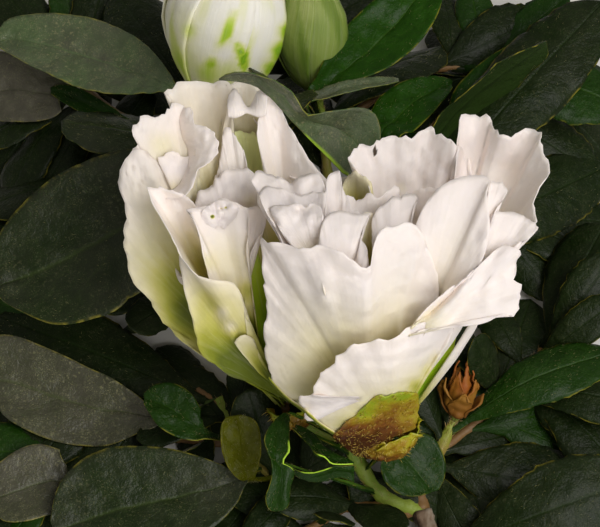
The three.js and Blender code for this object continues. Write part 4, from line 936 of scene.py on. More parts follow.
# Buds: the profile is given by height and radius
budShapes = {
    "large": {
        "node": "bud_large", "foot": (-14.3, 31, -47), "way": (0.02, 0.92, 0.36), "folds": 6, "twist": 0.9,
        "pale": 0.62,
        "tintsAndShading": [(180, 20, 0.2, 22), (186, 60, 0.25, 18), (234, 13, 0.4, 4.5), (231, 20, 0.6, 4.5),
                  (229, 27, 0.7, 5), (227, 34, 0.8, 5), (223, 41, 0.6, 4.5), (218, 46, 0.3, 4),
                  (236, 45, 0.5, 4), (241, 50, 0.8, 4.5), (243, 57, 0.9, 4.5), (244, 64, 0.8, 4.5),
                  (244, 71, 0.5, 4.5), (212, 62, 0.35, 5), (203, 74, 0.2, 12), (190, 31, 0.3, 8),
                  (282, 30, 0.5, 7), (277, 50, 0.7, 8), (268, 68, 0.6, 8), (258, 20, -0.2, 14),
                  (230, 58, -0.15, 6)],
        "profile": [(0, 0.4), (0.5, 2.3), (3, 6), (9, 9), (15, 10), (20, 9.2), (24, 6.2), (26, 2.4),
                    (26.6, 0.3)],
        "stops": [(0.0, (0.22, 0.42, 0.005)), (0.2, (0.40, 0.58, 0.03)), (0.38, (0.62, 0.70, 0.20)),
                  (0.6, (0.82, 0.81, 0.52)), (0.8, (0.89, 0.86, 0.72)), (1.0, (0.92, 0.88, 0.79))]},
    "slim": {
        "node": "bud_slim", "foot": (3.4, 32.8, -54), "way": (-0.12, 0.95, 0.25), "folds": 5, "twist": 1.1,
        "pale": 0.2, "tintsAndShading": [(318, 30, 0.12, 12), (300, 66, 0.15, 12), (304, 10, -0.12, 12)],
        "profile": [(0, 0.3), (0.5, 1.6), (3.5, 4), (9, 6), (14, 5.9), (18.5, 4.3), (21, 2), (21.8, 0.3)],
        "stops": [(0.0, (0.10, 0.17, 0.012)), (0.35, (0.20, 0.27, 0.05)), (0.7, (0.36, 0.40, 0.14)),
                  (1.0, (0.6, 0.6, 0.34))]},
}
budForm = {"rings": 80, "sides": 60, "core": 0.97, "size": (44, 26), "wraps": 0.93, "thickness": 0.3,
           "seed": 7000}


# A closed bud: petals wrapped over each other about a core, so each fold is a step round the bud
def makeBud(name, shape, seed):
    pile, stand = Pile(*petalForm["marks"]), Stand(shape)
    rows, sides, count = budForm["rings"], budForm["sides"], shape["folds"]
    level = np.linspace(0, 1, rows)
    profile = np.array([(*place, 0) for place in shape["profile"]], float)
    tall, wide, _ = lineAt(profile, level).T
    angle = np.linspace(0, 2 * math.pi, sides, endpoint=False)[None]
    height = level[:, None]
    radius = wide[:, None] * budForm["core"] * (1 + 0.05 * np.cos(count * angle + 4 * height))
    middle, _ = stand.wall(tall[:, None], radius, angle)
    ends = [np.arange(sides)[None, ::-1], np.arange((rows - 1) * sides, rows * sides)[None]]
    pile.add(middle, [gridFaces(rows, sides, closed=True)] + ends, reach=0.75 * height * np.ones(sides),
             across=angle / 3 + 0 * height, tone=0.3)
    # Outer petals lie over the core and stop short of its tip
    t, w = sheetGrid(budForm["size"])
    t = t * budForm["wraps"]
    up = t * (1 - 0.10 * np.abs(w) ** 2.4)
    high = np.interp(up, level, tall)
    for k in range(count):
        angle = 2 * math.pi * (k + 0.5) / count + w * 1.05 * (0.9 + 0.2 * t) + shape["twist"] * up
        lap = 1.0 + 0.09 * w + 0.02 * np.cos(5 * w)
        middle, around = stand.wall(high, np.interp(up, level, wide) * lap + 0.45, angle)
        middle = middle + around * (0.12 * waves(middle, seed + k, 3.0) * t)[..., None]
        # Green streaks of uneven length
        streak = waves(stand.axis * high[..., None] * 0.22 + around * 9, seed + k + 40, 4.0)
        reach = shape["pale"] + 0.4 * up - 0.3 * np.clip(streak - 0.2, 0, 1)
        reach = reach - humps(shape["tintsAndShading"], *toPicture(middle))
        pile.addSheet(middle, budForm["thickness"], reach=reach, across=0.5 + w / 2, tone=k / count)
    piece = pile.make(f"bud_petals_{name}", petalFinish(f"bud_petal_{name}", shape["stops"]))
    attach(piece, "root")
    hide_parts(shape["node"])
    return piece


print("buds")
budPieces = [makeBud(name, shape, budForm["seed"] + 100 * k)
             for k, (name, shape) in enumerate(budShapes.items())]


# Fine tapering hairs at the given places, each a closed spike of two rings and a tip
def addHairs(pile, roots, ways, lengths, thickness, seed, bend=0.35, sides=3):
    dice = np.random.default_rng(seed)
    count = len(roots)
    across = squareTo(dice.normal(size=(count, 3)), ways)
    other = np.cross(ways, across)
    droop = squareTo(dice.normal(size=(count, 3)), ways) * bend
    rings = []
    for share, radius in ((0.0, 1.0), (0.55, 0.6)):
        centre = roots + ways * (lengths * share)[:, None] + droop * (lengths * share ** 2)[:, None]
        for k in range(sides):
            turn = 2 * math.pi * k / sides
            rings.append(centre + (across * math.cos(turn) + other * math.sin(turn)) * thickness * radius)
    tips = roots + ways * lengths[:, None] + droop * lengths[:, None]
    first = np.arange(count)[:, None] * (2 * sides + 1)
    following = [(a + 1) % sides for a in range(sides)]
    walls = [first + np.array([[a, b, b + sides, a + sides]]) for a, b in enumerate(following)]
    foot = [first + np.arange(sides)[None, ::-1]]
    point = [first + np.array([[a + sides, b + sides, 2 * sides]]) for a, b in enumerate(following)]
    reach = np.repeat([0.0, 0.5, 1.0], (sides, sides, 1))
    pile.add(np.stack(rings + [tips], 1), walls + foot + point, reach=np.tile(reach, count))


# The cups under the blooms, one with a sepal in sight that is laid like a petal
cupShapes = {
    "right": {
        "foot": (14.4, -33.5, -27), "way": (0.03, 0.83, 0.55), "sepals": 6, "hairs": 460,
        "profile": [(0, 0.9), (0.5, 2.2), (2, 4.6), (4.5, 5.9), (7, 6.3), (8.6, 6.6)],
        "front": dict(
            foot=(356, 455, -22), belly=2.6, ruffle=0.35, tooth=0.45, room=0.5, size=(34, 70), greenAndShade=0.35,
            tintsAndShading=[(366, 412, -0.4, 12), (384, 402, -0.15, 12), (346, 440, 0.3, 15), (404, 396, -0.3, 8),
                   (385, 428, 0.1, 12)],
            margin=[(332, 437, -15), (340, 428, -11), (350, 419, -9), (362, 408, -7.6), (372, 399, -7),
                    (379, 395.5, -7), (386, 397, -7.2), (392, 394, -7.4), (404, 393, -8), (415, 393, -9.4),
                    (419, 404, -12), (417.5, 416, -14), (415, 428, -16), (406, 431, -17), (397, 430.5, -17.6),
                    (391, 435, -18), (392, 442, -19), (384, 449, -20.4), (372, 457, -22)])},
    "left": {
        "foot": (0.6, -28.8, -30), "way": (-0.3, 0.82, 0.48), "sepals": 5, "hairs": 320,
        "profile": [(0, 0.8), (0.4, 1.5), (2, 3.3), (3.5, 4.1), (5, 4.5), (6.4, 4.9)]},
}
cupForm = {"size": (26, 30), "thickness": 0.45, "hairLength": (0.5, 1.5), "hairThickness": 0.07, "seed": 8000}


# A cup of frilled, sticky sepals
def makeCup(name, shape, seed):
    pile, hairPile, stand = Pile("reach"), Pile("reach"), Stand(shape)
    at, wide = np.array(shape["profile"], float).T
    dice = np.random.default_rng(seed)
    roots, ways = [], []
    t, w = sheetGrid(cupForm["size"])
    for k in range(shape["sepals"]):
        up = t * (1 - 0.32 * np.abs(w) ** 2.2) * dice.uniform(0.82, 1.08)
        height = up * at[-1]
        radius = np.interp(height, at, wide) + 0.1 + 0.25 * (k % 2)
        angle = 2 * math.pi * k / shape["sepals"] + 0.74 * w * (0.85 + 0.2 * t)
        middle, around = stand.wall(height, radius, angle)
        frill = waves(middle, seed + k, 2.6) * 0.55 * t ** 2.5 + waves(middle, seed + k + 50, 1.2) * 0.14
        middle = middle + around * frill[..., None]
        pile.addSheet(middle, cupForm["thickness"] * (1.2 - 0.7 * t), reach=up)
        picks = dice.integers(0, up.size, shape["hairs"] // shape["sepals"])
        roots.append(middle.reshape(-1, 3)[picks])
        ways.append((around + stand.axis * 0.35).reshape(-1, 3)[picks] + dice.normal(0, 0.3, (len(picks), 3)))
    if "front" in shape:
        spreadPetal(pile, laid, seed + 40, **shape["front"])
        sheet = pile.points[-1]
        picks = dice.integers(0, len(sheet) // 2, shape["hairs"])
        roots.append(sheet[picks])
        ways.append(towardsEye + stand.axis * 0.4 + dice.normal(0, 0.35, (len(picks), 3)))
    roots, ways = np.vstack(roots), unit(np.vstack(ways))
    lengths = dice.uniform(*cupForm["hairLength"], len(roots))
    addHairs(hairPile, roots, ways, lengths, cupForm["hairThickness"], seed + 9)
    cup = pile.make(f"calyx_sepals_{name}", calyxFinish())
    golden = hairFinish("golden_hair", (0.40, 0.22, 0.02), (0.72, 0.58, 0.12))
    hairs = hairPile.make(f"calyx_hairs_{name}", golden)
    for piece in (cup, hairs):
        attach(piece, "root")
    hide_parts(f"calyx_{name}")


dryBud = {"foot": (28.3, -27.5, -34.5), "way": (0.12, 0.9, 0.35), "length": 11.5, "radius": 2.7, "scales": 11,
          "size": (18, 14), "thickness": 0.28, "turn": 2.4, "seed": 8100}


# Dry scales wrapped round a short spindle, the outer ones standing off
def makeDryBud():
    pile, stand = Pile("reach"), Stand(dryBud)
    t, w = sheetGrid(dryBud["size"])
    for k in range(dryBud["scales"]):
        layer = k / (dryBud["scales"] - 1)
        length = dryBud["length"] * (0.42 + 0.5 * layer)
        height = dryBud["length"] * 0.06 * layer + t * length * (1 - 0.25 * w ** 2)
        swell = np.sin(math.pi * np.clip(0.12 + 0.85 * height / dryBud["length"], 0, 1)) ** 0.8
        radius = dryBud["radius"] * swell * (1.05 - 0.45 * layer) + (1 - layer) * 1.5 * t ** 2.2 + 0.2
        angle = dryBud["turn"] * k + w * np.sin(math.pi * (0.12 + 0.8 * t) ** 0.8)
        middle, around = stand.wall(height, radius, angle)
        middle = middle + around * (0.22 * waves(middle, dryBud["seed"] + k, 2.0))[..., None]
        pile.addSheet(middle, dryBud["thickness"], reach=0.25 + 0.5 * layer + 0.3 * t)
    piece = pile.make("dry_scales", mottledFinish("dry_scale"))
    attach(piece, "root")
    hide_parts("bud_dry")


print("calyxes and dry bud")
for k, (name, shape) in enumerate(cupShapes.items()):
    makeCup(name, shape, cupForm["seed"] + 100 * k)
makeDryBud()


# The stem, its shoots, and the stalks that carry blooms and buds
fork = (22, -25, 4)
shoots = {
    "stem": {"line": [stemStart, (33, -64, 2.3), (27, -43, 2.7), fork], "from": 2.3, "to": 1.8},
    "front": {"line": [fork, (14, -21.5, 5.5), (8, -13, 9.5)], "from": 1.5, "to": 1.3, "tint": (0.7, 1.0)},
    "left": {"line": [fork, (7, -23, 3), (-7, -16, 2.8), (-15, -3, 4.6)], "from": 1.3, "to": 1.0},
    "back": {"line": [fork, (18, -4, 3.5), (7, 14, 5), (-8, 25, 8), (-15, 35, 12), (-17, 45, 21)],
             "from": 1.6, "to": 1.1},
    "right": {"line": [(21, -19, 3.8), (25, -14, 5), (28, -8, 7)], "from": 1.2, "to": 1.0},
    "middle": {"line": [(12, 8, 4.5), (17, 21, 8.5), (15, 30, 13)], "from": 1.2, "to": 0.9},
    "far": {"line": [(3, 17.5, 6), (6, 33, 7), (4, 52, 13)], "from": 1.2, "to": 0.9},
}
shootLines = {name: np.array(shoot["line"], float) + offset for name, shoot in shoots.items()}
stalks = {
    "stalk_right": {"on": "front", "foot": cupShapes["right"]["foot"], "radius": 1.15},
    "stalk_left": {"on": "front", "foot": cupShapes["left"]["foot"], "radius": 0.95},
    "stalk_bud_large": {"on": "back", "foot": budShapes["large"]["foot"], "radius": 1.05},
    "stalk_bud_slim": {"on": "far", "foot": budShapes["slim"]["foot"], "radius": 0.85},
    "stalk_bud_dry": {"on": "right", "foot": dryBud["foot"], "radius": 0.85},
}
# Side twigs that the frame has no node for: the shoot and the share of it that each leaves, and where it passes
twigs = [
    ("left", 0.97, [(-28, 6, 2), (-40, 14, 2)]), ("back", 0.62, [(-24, 34, 5), (-38, 44, 7)]),
    ("far", 0.97, [(2, 62, 11), (-6, 71, 12)]), ("far", 0.5, [(20, 48, 6), (32, 60, 9)]),
    ("middle", 0.6, [(30, 32, 6), (43, 38, 7)]), ("right", 0.5, [(36, -4, 4), (46, 8, 5)]),
    ("stem", 0.86, [(38, -32, 3), (48, -26, 4)]), ("left", 0.3, [(-8, -33, 2.5), (-24, -34, 4)]),
    ("back", 0.4, [(-8, 13, 3), (-22, 20, 4)]), ("back", 0.9, [(-34, 52, 14), (-46, 66, 8)]),
    ("far", 0.9, [(22, 63, 12), (44, 68, 8)]), ("left", 0.8, [(-32, -10, 1.4), (-45, -18, 1.0)]),
]
twigLines = [np.array([lineAt(shootLines[on], at)] + [vec(*place) + offset for place in through])
             for on, at, through in twigs]
woodForm = {"twig": (0.95, 0.6), "step": 0.7, "scarSpacing": 5.5, "relief": [(3.5, 1.0), (1.2, 0.6)],
            "hairLength": (0.6, 1.4), "hairThickness": 0.045}
woodSeeds = {"stem": 9000, "shoot": 9100, "shootHairs": 9200, "stalk": 9300, "stalkHairs": 9400, "twig": 9500,
             "twigHairs": 9600}


# A closed tube along a line, with both ends capped
def tube(points, radii, sides, relief):
    way = unit(np.gradient(points, axis=0))
    across = np.empty_like(points)
    last = vec(0.2, 0.1, 1)
    for i, w in enumerate(way):
        last = squareTo(last, w)
        across[i] = last
    angle = np.linspace(0, 2 * math.pi, sides, endpoint=False)[:, None]
    out = across[:, None] * np.cos(angle) + np.cross(way, across)[:, None] * np.sin(angle)
    rings = points[:, None] + out * radii[:, None, None]
    rings = rings + out * relief(rings)[..., None]
    rows, n = len(points), len(points) * sides
    j = np.arange(sides)
    k = (j + 1) % sides
    faces = [gridFaces(rows, sides, closed=True), np.stack([k, j, np.full(sides, n)], -1),
             np.stack([j + n - sides, k + n - sides, np.full(sides, n + 1)], -1)]
    return np.vstack([rings.reshape(-1, 3), points[:1], points[-1:]]), faces


def shootTube(pile, line, radii, seed, sides=18, tint=(0.0, 1.0), rough=0.1):
    length = np.linalg.norm(np.diff(line, axis=0), axis=1).sum()
    steps = int(length / woodForm["step"]) + 8
    share = np.linspace(0, 1, steps)
    # Slight swellings where leaves and scales have fallen
    spacing = woodForm["scarSpacing"]
    swell = 0.16 * np.exp(-((share * length % spacing - spacing / 2) / 0.7) ** 2)
    thickness = (radii[0] + (radii[1] - radii[0]) * share) * (0.96 + swell)
    points, faces = tube(evenLine(line, steps), thickness, sides,
                         lambda places: rough * layeredWaves(places, seed, woodForm["relief"]))
    pile.add(points, faces, reach=np.append(np.repeat(tint[0] + (tint[1] - tint[0]) * share, sides), tint))


def shootHairs(pile, line, radius, count, seed, low=0.0):
    dice = np.random.default_rng(seed)
    share = dice.uniform(low, 1, count)
    way = wayAt(line, share)
    out = squareTo(dice.normal(size=(count, 3)), way)
    roots = lineAt(line, share) + out * radius * 0.95
    lengths = dice.uniform(*woodForm["hairLength"], count)
    addHairs(pile, roots, unit(out * 0.5 + way), lengths, woodForm["hairThickness"], seed + 1)


def stalkLine(stalk):
    start, end = lineAt(shootLines[stalk["on"]], 1.0), fromSight(*stalk["foot"])
    return np.array([start, (start + end) / 2 - vec(0, 0, 0.6), end])


def makeWood():
    stemPile, shootPile, hairPile = Pile("reach"), Pile("reach"), Pile("reach")
    names = [name for name in shoots if name != "stem"]
    ends = {name: (shoot["from"], shoot["to"]) for name, shoot in shoots.items()}
    shootTube(stemPile, shootLines["stem"], ends["stem"], woodSeeds["stem"], sides=32, rough=0.22)
    for k, name in enumerate(names):
        shootTube(shootPile, shootLines[name], ends[name], woodSeeds["shoot"] + 10 * k,
                  tint=shoots[name].get("tint", (0.1, 0.75)))
        shootHairs(hairPile, shootLines[name], ends[name][1], 160, woodSeeds["shootHairs"] + k, 0.3)
    for k, stalk in enumerate(stalks.values()):
        line, radius = stalkLine(stalk), stalk["radius"]
        shootTube(shootPile, line, (radius, radius * 1.1), woodSeeds["stalk"] + 10 * k, tint=(0.7, 1.0))
        shootHairs(hairPile, line, radius, 130, woodSeeds["stalkHairs"] + k)
    for k, line in enumerate(twigLines):
        shootTube(shootPile, line, woodForm["twig"], woodSeeds["twig"] + 10 * k, sides=12, tint=(0.0, 0.25))
        shootHairs(hairPile, line, woodForm["twig"][1], 60, woodSeeds["twigHairs"] + k, 0.3)
    stemPiece = stemPile.make("stem_bark", mottledFinish("bark"))
    shootPiece = shootPile.make("green_shoots", mottledFinish("green_shoot"))
    hairPiece = hairPile.make("shoot_hairs", hairFinish("shoot_hair", (0.36, 0.20, 0.05), (0.62, 0.48, 0.24)))
    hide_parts("stem")
    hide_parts(*[f"shoot_{name}" for name in names], *stalks)
    for piece in (stemPiece, shootPiece, hairPiece):
        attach(piece, "root")


print("wood")
makeWood()


# Leaves in sight: the shoot and the share of it where they grow, the tip, how far they bow, their width and
# where the upper side faces; their tone is the near-black one, painted shade, unless another is given
seenLeaves = {
    "left_under": dict(on="left", at=0.95, tip=(-57, -10, -52), bow=2, width=15, face=(0, 0.4, 1)),
    "top": dict(on="back", at=1, tip=(-36, 53, -66), bow=3, width=14, face=(0.3, -0.2, 1)),
    "behind_bloom": dict(on="middle", at=0.85, tip=(46, 41.5, -46), bow=5, width=17, face=(-0.5, 1, -0.4)),
    "top_right": dict(on="middle", at=0.75, tip=(59, 51, -62), bow=3, width=16, face=(-0.2, 0.2, 1)),
    "right_upper": dict(on="middle", at=0.5, tip=(60, 19, -65), bow=3, width=15, face=(-0.2, 0.1, 1)),
    "right": dict(on="right", at=0.8, tip=(57, -16, -37), bow=4, width=11, face=(-0.3, 0.6, 1), tone="mid"),
    "right_lower": dict(on="right", at=0.3, tip=(52, -42, -35.5), bow=2, width=15, face=(0, 0.3, 1)),
    "right_corner": dict(on="stem", at=0.85, tip=(59, -38, -24), bow=4, width=16, face=(0.2, 0.3, 1)),
}
# Leaves given by their margins, as pixels and nearness; their rim is lit from behind on one side, over a part
tracedLeaves = {
    "arched": dict(on='middle', at=0.97, tone='grey', rim=(-1, 0, 4), left=[
        (347, 180, -24), (338, 172, -22), (325, 157, -20), (313, 144, -17), (303, 133, -13),
        (293, 119, -11), (279, 103, -10), (265, 90, -9.5), (252, 83, -9.2), (236, 80, -9),
        (219, 80, -8.6)], right=[
        (354, 176, -25), (364, 160, -26), (374, 145, -26), (376, 130, -26), (372, 115, -24),
        (360, 106, -21), (343, 106, -17), (322, 110, -12), (307, 112, -7), (299, 96, -6), (283, 83, -6),
        (262, 73, -6), (244, 70, -6.2), (229, 72, -7), (219, 79, -8.4)]),
    "torn": dict(on='front', at=0.98, tone='mid', rim=(-1, 3, 7), right=[
        (290, 414, -22), (278, 417, -20), (270, 425, -18), (265, 434, -17), (263, 441, -16),
        (267, 452, -15.4), (271, 463, -15), (271, 475, -15), (268, 487, -15), (265, 498, -15),
        (268, 508, -15.4), (275, 511, -16)], left=[
        (294, 414, -23), (289, 419, -22), (288, 430, -20), (288, 443, -18), (289, 452, -17),
        (284, 459, -16), (283, 465, -16), (292, 469, -16.4), (293.5, 475, -16.4), (290, 486, -16.4),
        (289, 498, -16), (287, 507, -16), (278, 511, -16)]),
    "torn_half": dict(on='front', at=0.85, tone='mid', rim=(1, 4, 8), right=[
        (296, 429, -22), (302, 439, -20), (308, 447, -18), (313, 454, -16), (317, 457, -15.4),
        (324, 459.5, -15.4), (331, 465, -15.6), (342, 465.5, -16), (353, 464, -16.4)], left=[
        (299, 427, -23), (308, 431, -22.4), (316, 437, -21.6), (321, 446, -20), (330, 453, -19),
        (339, 457, -18), (346, 459, -17.4), (354, 462, -16.6)]),
    "strip": dict(on='front', at=0.45, tone='mid', rim=(-1, 2, 5), right=[
        (288, 466, -19), (296, 474, -19), (306, 479, -18.6), (318, 481, -18.2), (329, 479, -18),
        (338, 476, -18), (346, 478, -18), (354, 482, -18)], left=[
        (289, 464, -18.6), (297, 469, -17.6), (305, 471.5, -17), (315, 471, -16.6), (324, 468.5, -16.4),
        (332, 465.5, -16.2), (343, 465, -16.4), (354, 464, -16.8)]),
    "left_upper": dict(on='back', at=0.8, tone='dark', left=[
        (150, 290, -33), (135, 302, -33), (120, 315, -33), (100, 322, -33.5), (80, 327, -34),
        (60, 328, -34.5), (40, 322, -35.5), (20, 312, -36.5), (5, 303, -37.5), (-6, 292, -38.5)], right=[
        (150, 160, -39), (138, 155, -40), (125, 154, -40.5), (105, 161, -41), (80, 171, -41.5),
        (58, 183, -42), (36, 200, -42), (16, 220, -42), (1, 240, -41.5), (-8, 264, -40.6), (-8, 288, -39)]),
    "left_lower": dict(on='left', at=1.0, tone='dusty', left=[
        (155, 428, -36), (142, 433, -37), (130, 439, -38), (112, 446, -38.5), (92, 447.5, -39),
        (67, 445, -39.5), (42, 438, -40), (18, 426, -40.6), (2, 413, -41.4), (-10, 398, -42)], right=[
        (155, 420, -37), (149, 408, -38), (143, 399, -39), (128, 388, -40), (110, 377, -41), (91, 369, -42),
        (66, 357, -43), (42, 347, -44), (20, 339, -44.6), (0, 337, -45), (-12, 345, -45),
        (-14, 378, -43.6)]),
    "front_left": dict(on='left', at=0.66, tone='dark', left=[
        (248, 481, -28), (240, 500, -27), (225, 520, -26), (200, 540, -25), (170, 556, -24),
        (135, 566, -23.6), (100, 566, -23.6), (75, 556, -24.6), (56, 542, -26)], right=[
        (244, 474, -28.6), (226, 467, -29), (200, 458, -30), (175, 452, -31), (150, 450, -31.6),
        (125, 450, -32), (107, 453, -32), (88, 461, -32), (74, 472, -31.6), (62, 486, -30.8),
        (55, 502, -29.6), (51, 522, -28)]),
    "left_corner": dict(on='left', at=0.86, tone='dusty', left=[
        (76, 504, -34.6), (62, 512, -33.4), (45, 519, -32.4), (25, 524, -31.8), (5, 523, -32),
        (-9, 511, -33)], right=[
        (80, 488, -36), (67, 468, -37), (57, 454, -37.4), (46, 447, -37.6), (34, 447, -37.8),
        (20, 452, -37.6), (6, 461, -37), (-8, 474, -36.4), (-12, 492, -35)]),
    "small_left": dict(on='left', at=0.8, tone='mid', left=[
        (207, 440, -29), (196, 442, -29), (182, 440, -29), (169, 435, -29), (158, 427, -29.4),
        (150, 415, -30), (144, 404, -30.6)], right=[
        (206, 430, -31), (201, 413, -31.6), (193, 398, -32), (181, 388, -32.4), (167, 384, -32.4),
        (153, 387, -32.4), (144, 394, -32)]),
    "young": dict(on='left', at=0.6, tone='young', left=[
        (242, 480, -27), (229, 469, -26.4), (222, 453, -26), (220, 437, -25.6), (221, 425, -25.4),
        (226, 417, -25.4)], right=[
        (256, 478, -28), (260, 456, -27.4), (260, 439, -27), (258, 426, -26.6), (252, 418, -26.2),
        (240, 414.6, -26)]),
    "round": dict(on='front', at=0.7, tone='mid', left=[
        (392, 441, -23.4), (401, 437, -24), (415, 433, -24.6), (428, 436.6, -25), (438, 448, -25),
        (443.6, 463, -24.6), (443, 478, -24), (438, 490, -23.4)], right=[
        (382, 452, -22.4), (379, 466, -22), (382, 480, -21.6), (390, 490, -21.4), (400, 496, -21.4),
        (411, 497, -21.6), (425, 494, -22.4)]),
    "top_left": dict(on='back', at=0.97, tone='grey', left=[
        (174, 98, -42), (150, 96, -44), (130, 98, -45.6), (110, 98, -47), (92, 95, -48.4), (75, 90, -49.6),
        (60, 83, -50.6), (45, 75, -52), (30, 68, -53), (18, 61, -54), (6, 53, -55),
        (-2, 48, -55.6)], right=[
        (178, 90, -43), (173, 79, -45), (161, 62, -48), (146, 47, -51), (128, 36, -53), (110, 28, -54.6),
        (95, 23, -55.6), (80, 20, -56.4), (65, 18, -57), (48, 17, -57.6), (28, 18, -58), (10, 21, -58),
        (-4, 34, -57)]),
    "top_left_low": dict(on='back', at=0.88, tone='satin', left=[
        (72, 104, -58), (63, 114, -58), (52, 121, -58.4), (35, 124, -59), (15, 124, -60), (0, 122, -61),
        (-8, 112, -62)], right=[
        (66, 84, -60), (48, 72, -61), (26, 61, -62.4), (6, 54, -63.6), (-8, 58, -64.4), (-12, 82, -64)]),
    "narrow_left": dict(on='back', at=0.93, tone='mid', left=[
        (131, 126, -51), (112, 124.6, -53), (95, 119.6, -54.6), (78, 111.6, -56), (62, 102, -57.6),
        (51, 94, -58.6)], right=[
        (133, 121, -51.6), (118, 111, -53.6), (105, 103, -55), (92, 95, -56.6), (76, 88, -58),
        (62, 85, -59), (51, 88, -59.4)]),
    "round_left": dict(on='back', at=0.85, tone='dusty', left=[
        (130, 139, -57), (120, 148, -57.4), (108, 153.6, -58), (95, 155.6, -59), (80, 151.6, -60),
        (70, 145, -60.6), (63, 136, -61.4)], right=[
        (130, 125, -59), (112, 118, -60.6), (98, 115, -61.6), (85, 114, -62.4), (71, 117.6, -63),
        (62.6, 126, -62.6)]),
    "bright": dict(on='far', at=1.0, tone='bright', left=[
        (308, 92, -44), (316, 79, -46), (326, 58, -48), (339, 39, -50), (355, 21, -52), (374, 3, -53),
        (396, -14, -54), (418, -23, -54.6)], right=[
        (318, 98, -43), (332, 92, -44), (352, 84, -45), (376, 77, -46), (398, 65, -47.6), (418, 47, -49.6),
        (434, 24, -51.6), (442, 0, -53.4), (438, -18, -54.6)]),
    "bright_behind": dict(on='far', at=0.9, tone='bright', left=[
        (446, 130, -58), (449, 112, -59), (454, 97, -60), (463, 84, -61), (476, 71, -62), (491, 59, -63),
        (506, 49.6, -63.6), (521, 42, -64), (536, 37.6, -64.6), (547, 38, -65)], right=[
        (500, 142, -54), (507, 130, -55), (513, 117, -56), (523, 100, -57.6), (533, 83, -59.6),
        (541, 67, -61.6), (547, 52, -63.4), (549.6, 43, -64.6)]),
    "edge_on": dict(on='far', at=0.97, tone='grey', left=[
        (304, 100, -42), (318, 92, -42.6), (335, 85, -43.4), (350, 81, -44), (365, 79, -45),
        (381, 77.6, -46), (398, 79, -47)], right=[
        (307, 106, -40), (324, 100.6, -40.6), (340, 96, -41.4), (355, 92, -42.4), (370, 88.6, -43.4),
        (386, 86, -44.6), (399, 82, -46)]),
    "low_angle": dict(on='middle', at=1.0, tone='bright', left=[
        (367, 134, -46), (370, 117, -47), (377, 104, -48.6), (390, 92, -50.4), (407, 83, -52),
        (424, 79, -53.4), (440, 78.4, -54.6), (451, 81, -55.4)], right=[
        (398, 146, -42), (412, 136, -44), (426, 123, -46.6), (437, 110, -49), (446, 98, -51.6),
        (452, 88, -54)]),
}
goldenAngle = math.radians(137.5)
whorls = {
    "stem": {"low": 0.22, "high": 0.75, "count": 5, "turn": 1.1, "splay": 58, "length": 31, "width": 13.5},
    "rear": {"on": "back", "low": 0.84, "high": 0.99, "count": 4, "turn": 2.2, "splay": 66, "length": 30,
             "width": 13.5},
    "far": {"low": 0.7, "high": 0.98, "count": 3, "turn": 3.3, "splay": 62, "length": 30, "width": 13.5},
    "middle": {"low": 0.6, "high": 0.9, "count": 2, "turn": 2.2, "splay": 60, "length": 26, "width": 11.5},
}
leafTones = list(leafLooks)
leafForm = {"petioleShare": 0.1, "petioleHalf": 0.8, "curl": 0.18, "thickness": 0.34, "rib": 0.75,
            "lowest": 0.45, "sideVeins": 7, "quilt": 0.07, "groove": 0.22, "grooveHalf": 0.5, "size": (46, 19),
            "waves": ((13.0, 0.45), (5.0, 0.22), (1.6, 0.16)), "tracedWaves": ((5.0, 0.3), (2.0, 0.12)),
            "tracedWidth": 7, "hairs": 170, "hairLength": (0.25, 0.6), "hairThickness": 0.03,
            "marks": ("along", "across", "under", "rim")}
leafSeeds = {"leaf": 11000, "hairs": 12000, "filler": 13000}


def leafShare(s):
    return np.clip((s - leafForm["petioleShare"]) / (1 - leafForm["petioleShare"]), 0, 1)


def bladeHalf(s, width):
    b = leafShare(s)
    shape = b ** 0.95 * (1 - b) ** 0.52 / (0.646 ** 0.95 * 0.354 ** 0.52)
    return np.maximum(leafForm["petioleHalf"] * (1 - s), width / 2 * shape) * (s < 0.999) + 0.1


def midribGroove(half, t):
    return leafForm["groove"] * np.exp(-(t * half / leafForm["grooveHalf"]) ** 2)


# Where a leaf's middle surface lies, with or without its relief
def bladeSurface(leaf, s, t, seed, fine):
    line, way = lineAt(leaf["points"], s), wayAt(leaf["points"], s)
    normal = squareTo(leaf["face"], way)
    side = np.cross(way, normal)
    half, along = bladeHalf(s, leaf["width"])[:, None], leafShare(s)[:, None]
    middle = line[:, None] + side[:, None] * (half * t)[..., None]
    lift = -leafForm["curl"] * half * t * t
    if fine:
        (broadSize, broad), (smallSize, small), (jagSize, jag) = leafForm["waves"]
        body = np.minimum(1, half / 4) * np.minimum(1, along * 5)
        quilting = np.cos(2 * math.pi * (leafForm["sideVeins"] * along - 1.5 * np.abs(t)))
        lift = lift - midribGroove(half, t) * body
        lift = lift - leafForm["quilt"] * quilting * body * (1 - t * t)
        lift = lift + broad * waves(middle, seed, broadSize) * np.abs(t) * body
        lift = lift + small * waves(middle, seed + 1, smallSize) * t * t * body
        jags = jag * waves(middle, seed + 2, jagSize) * (np.abs(t) > 0.99) * body
        middle = middle + side[:, None] * (jags * np.sign(t))[..., None]
    middle = middle + normal[:, None] * lift[..., None]
    middle[..., 2] = np.maximum(middle[..., 2], leafForm["lowest"])
    return middle, np.broadcast_to(along, lift.shape), normal


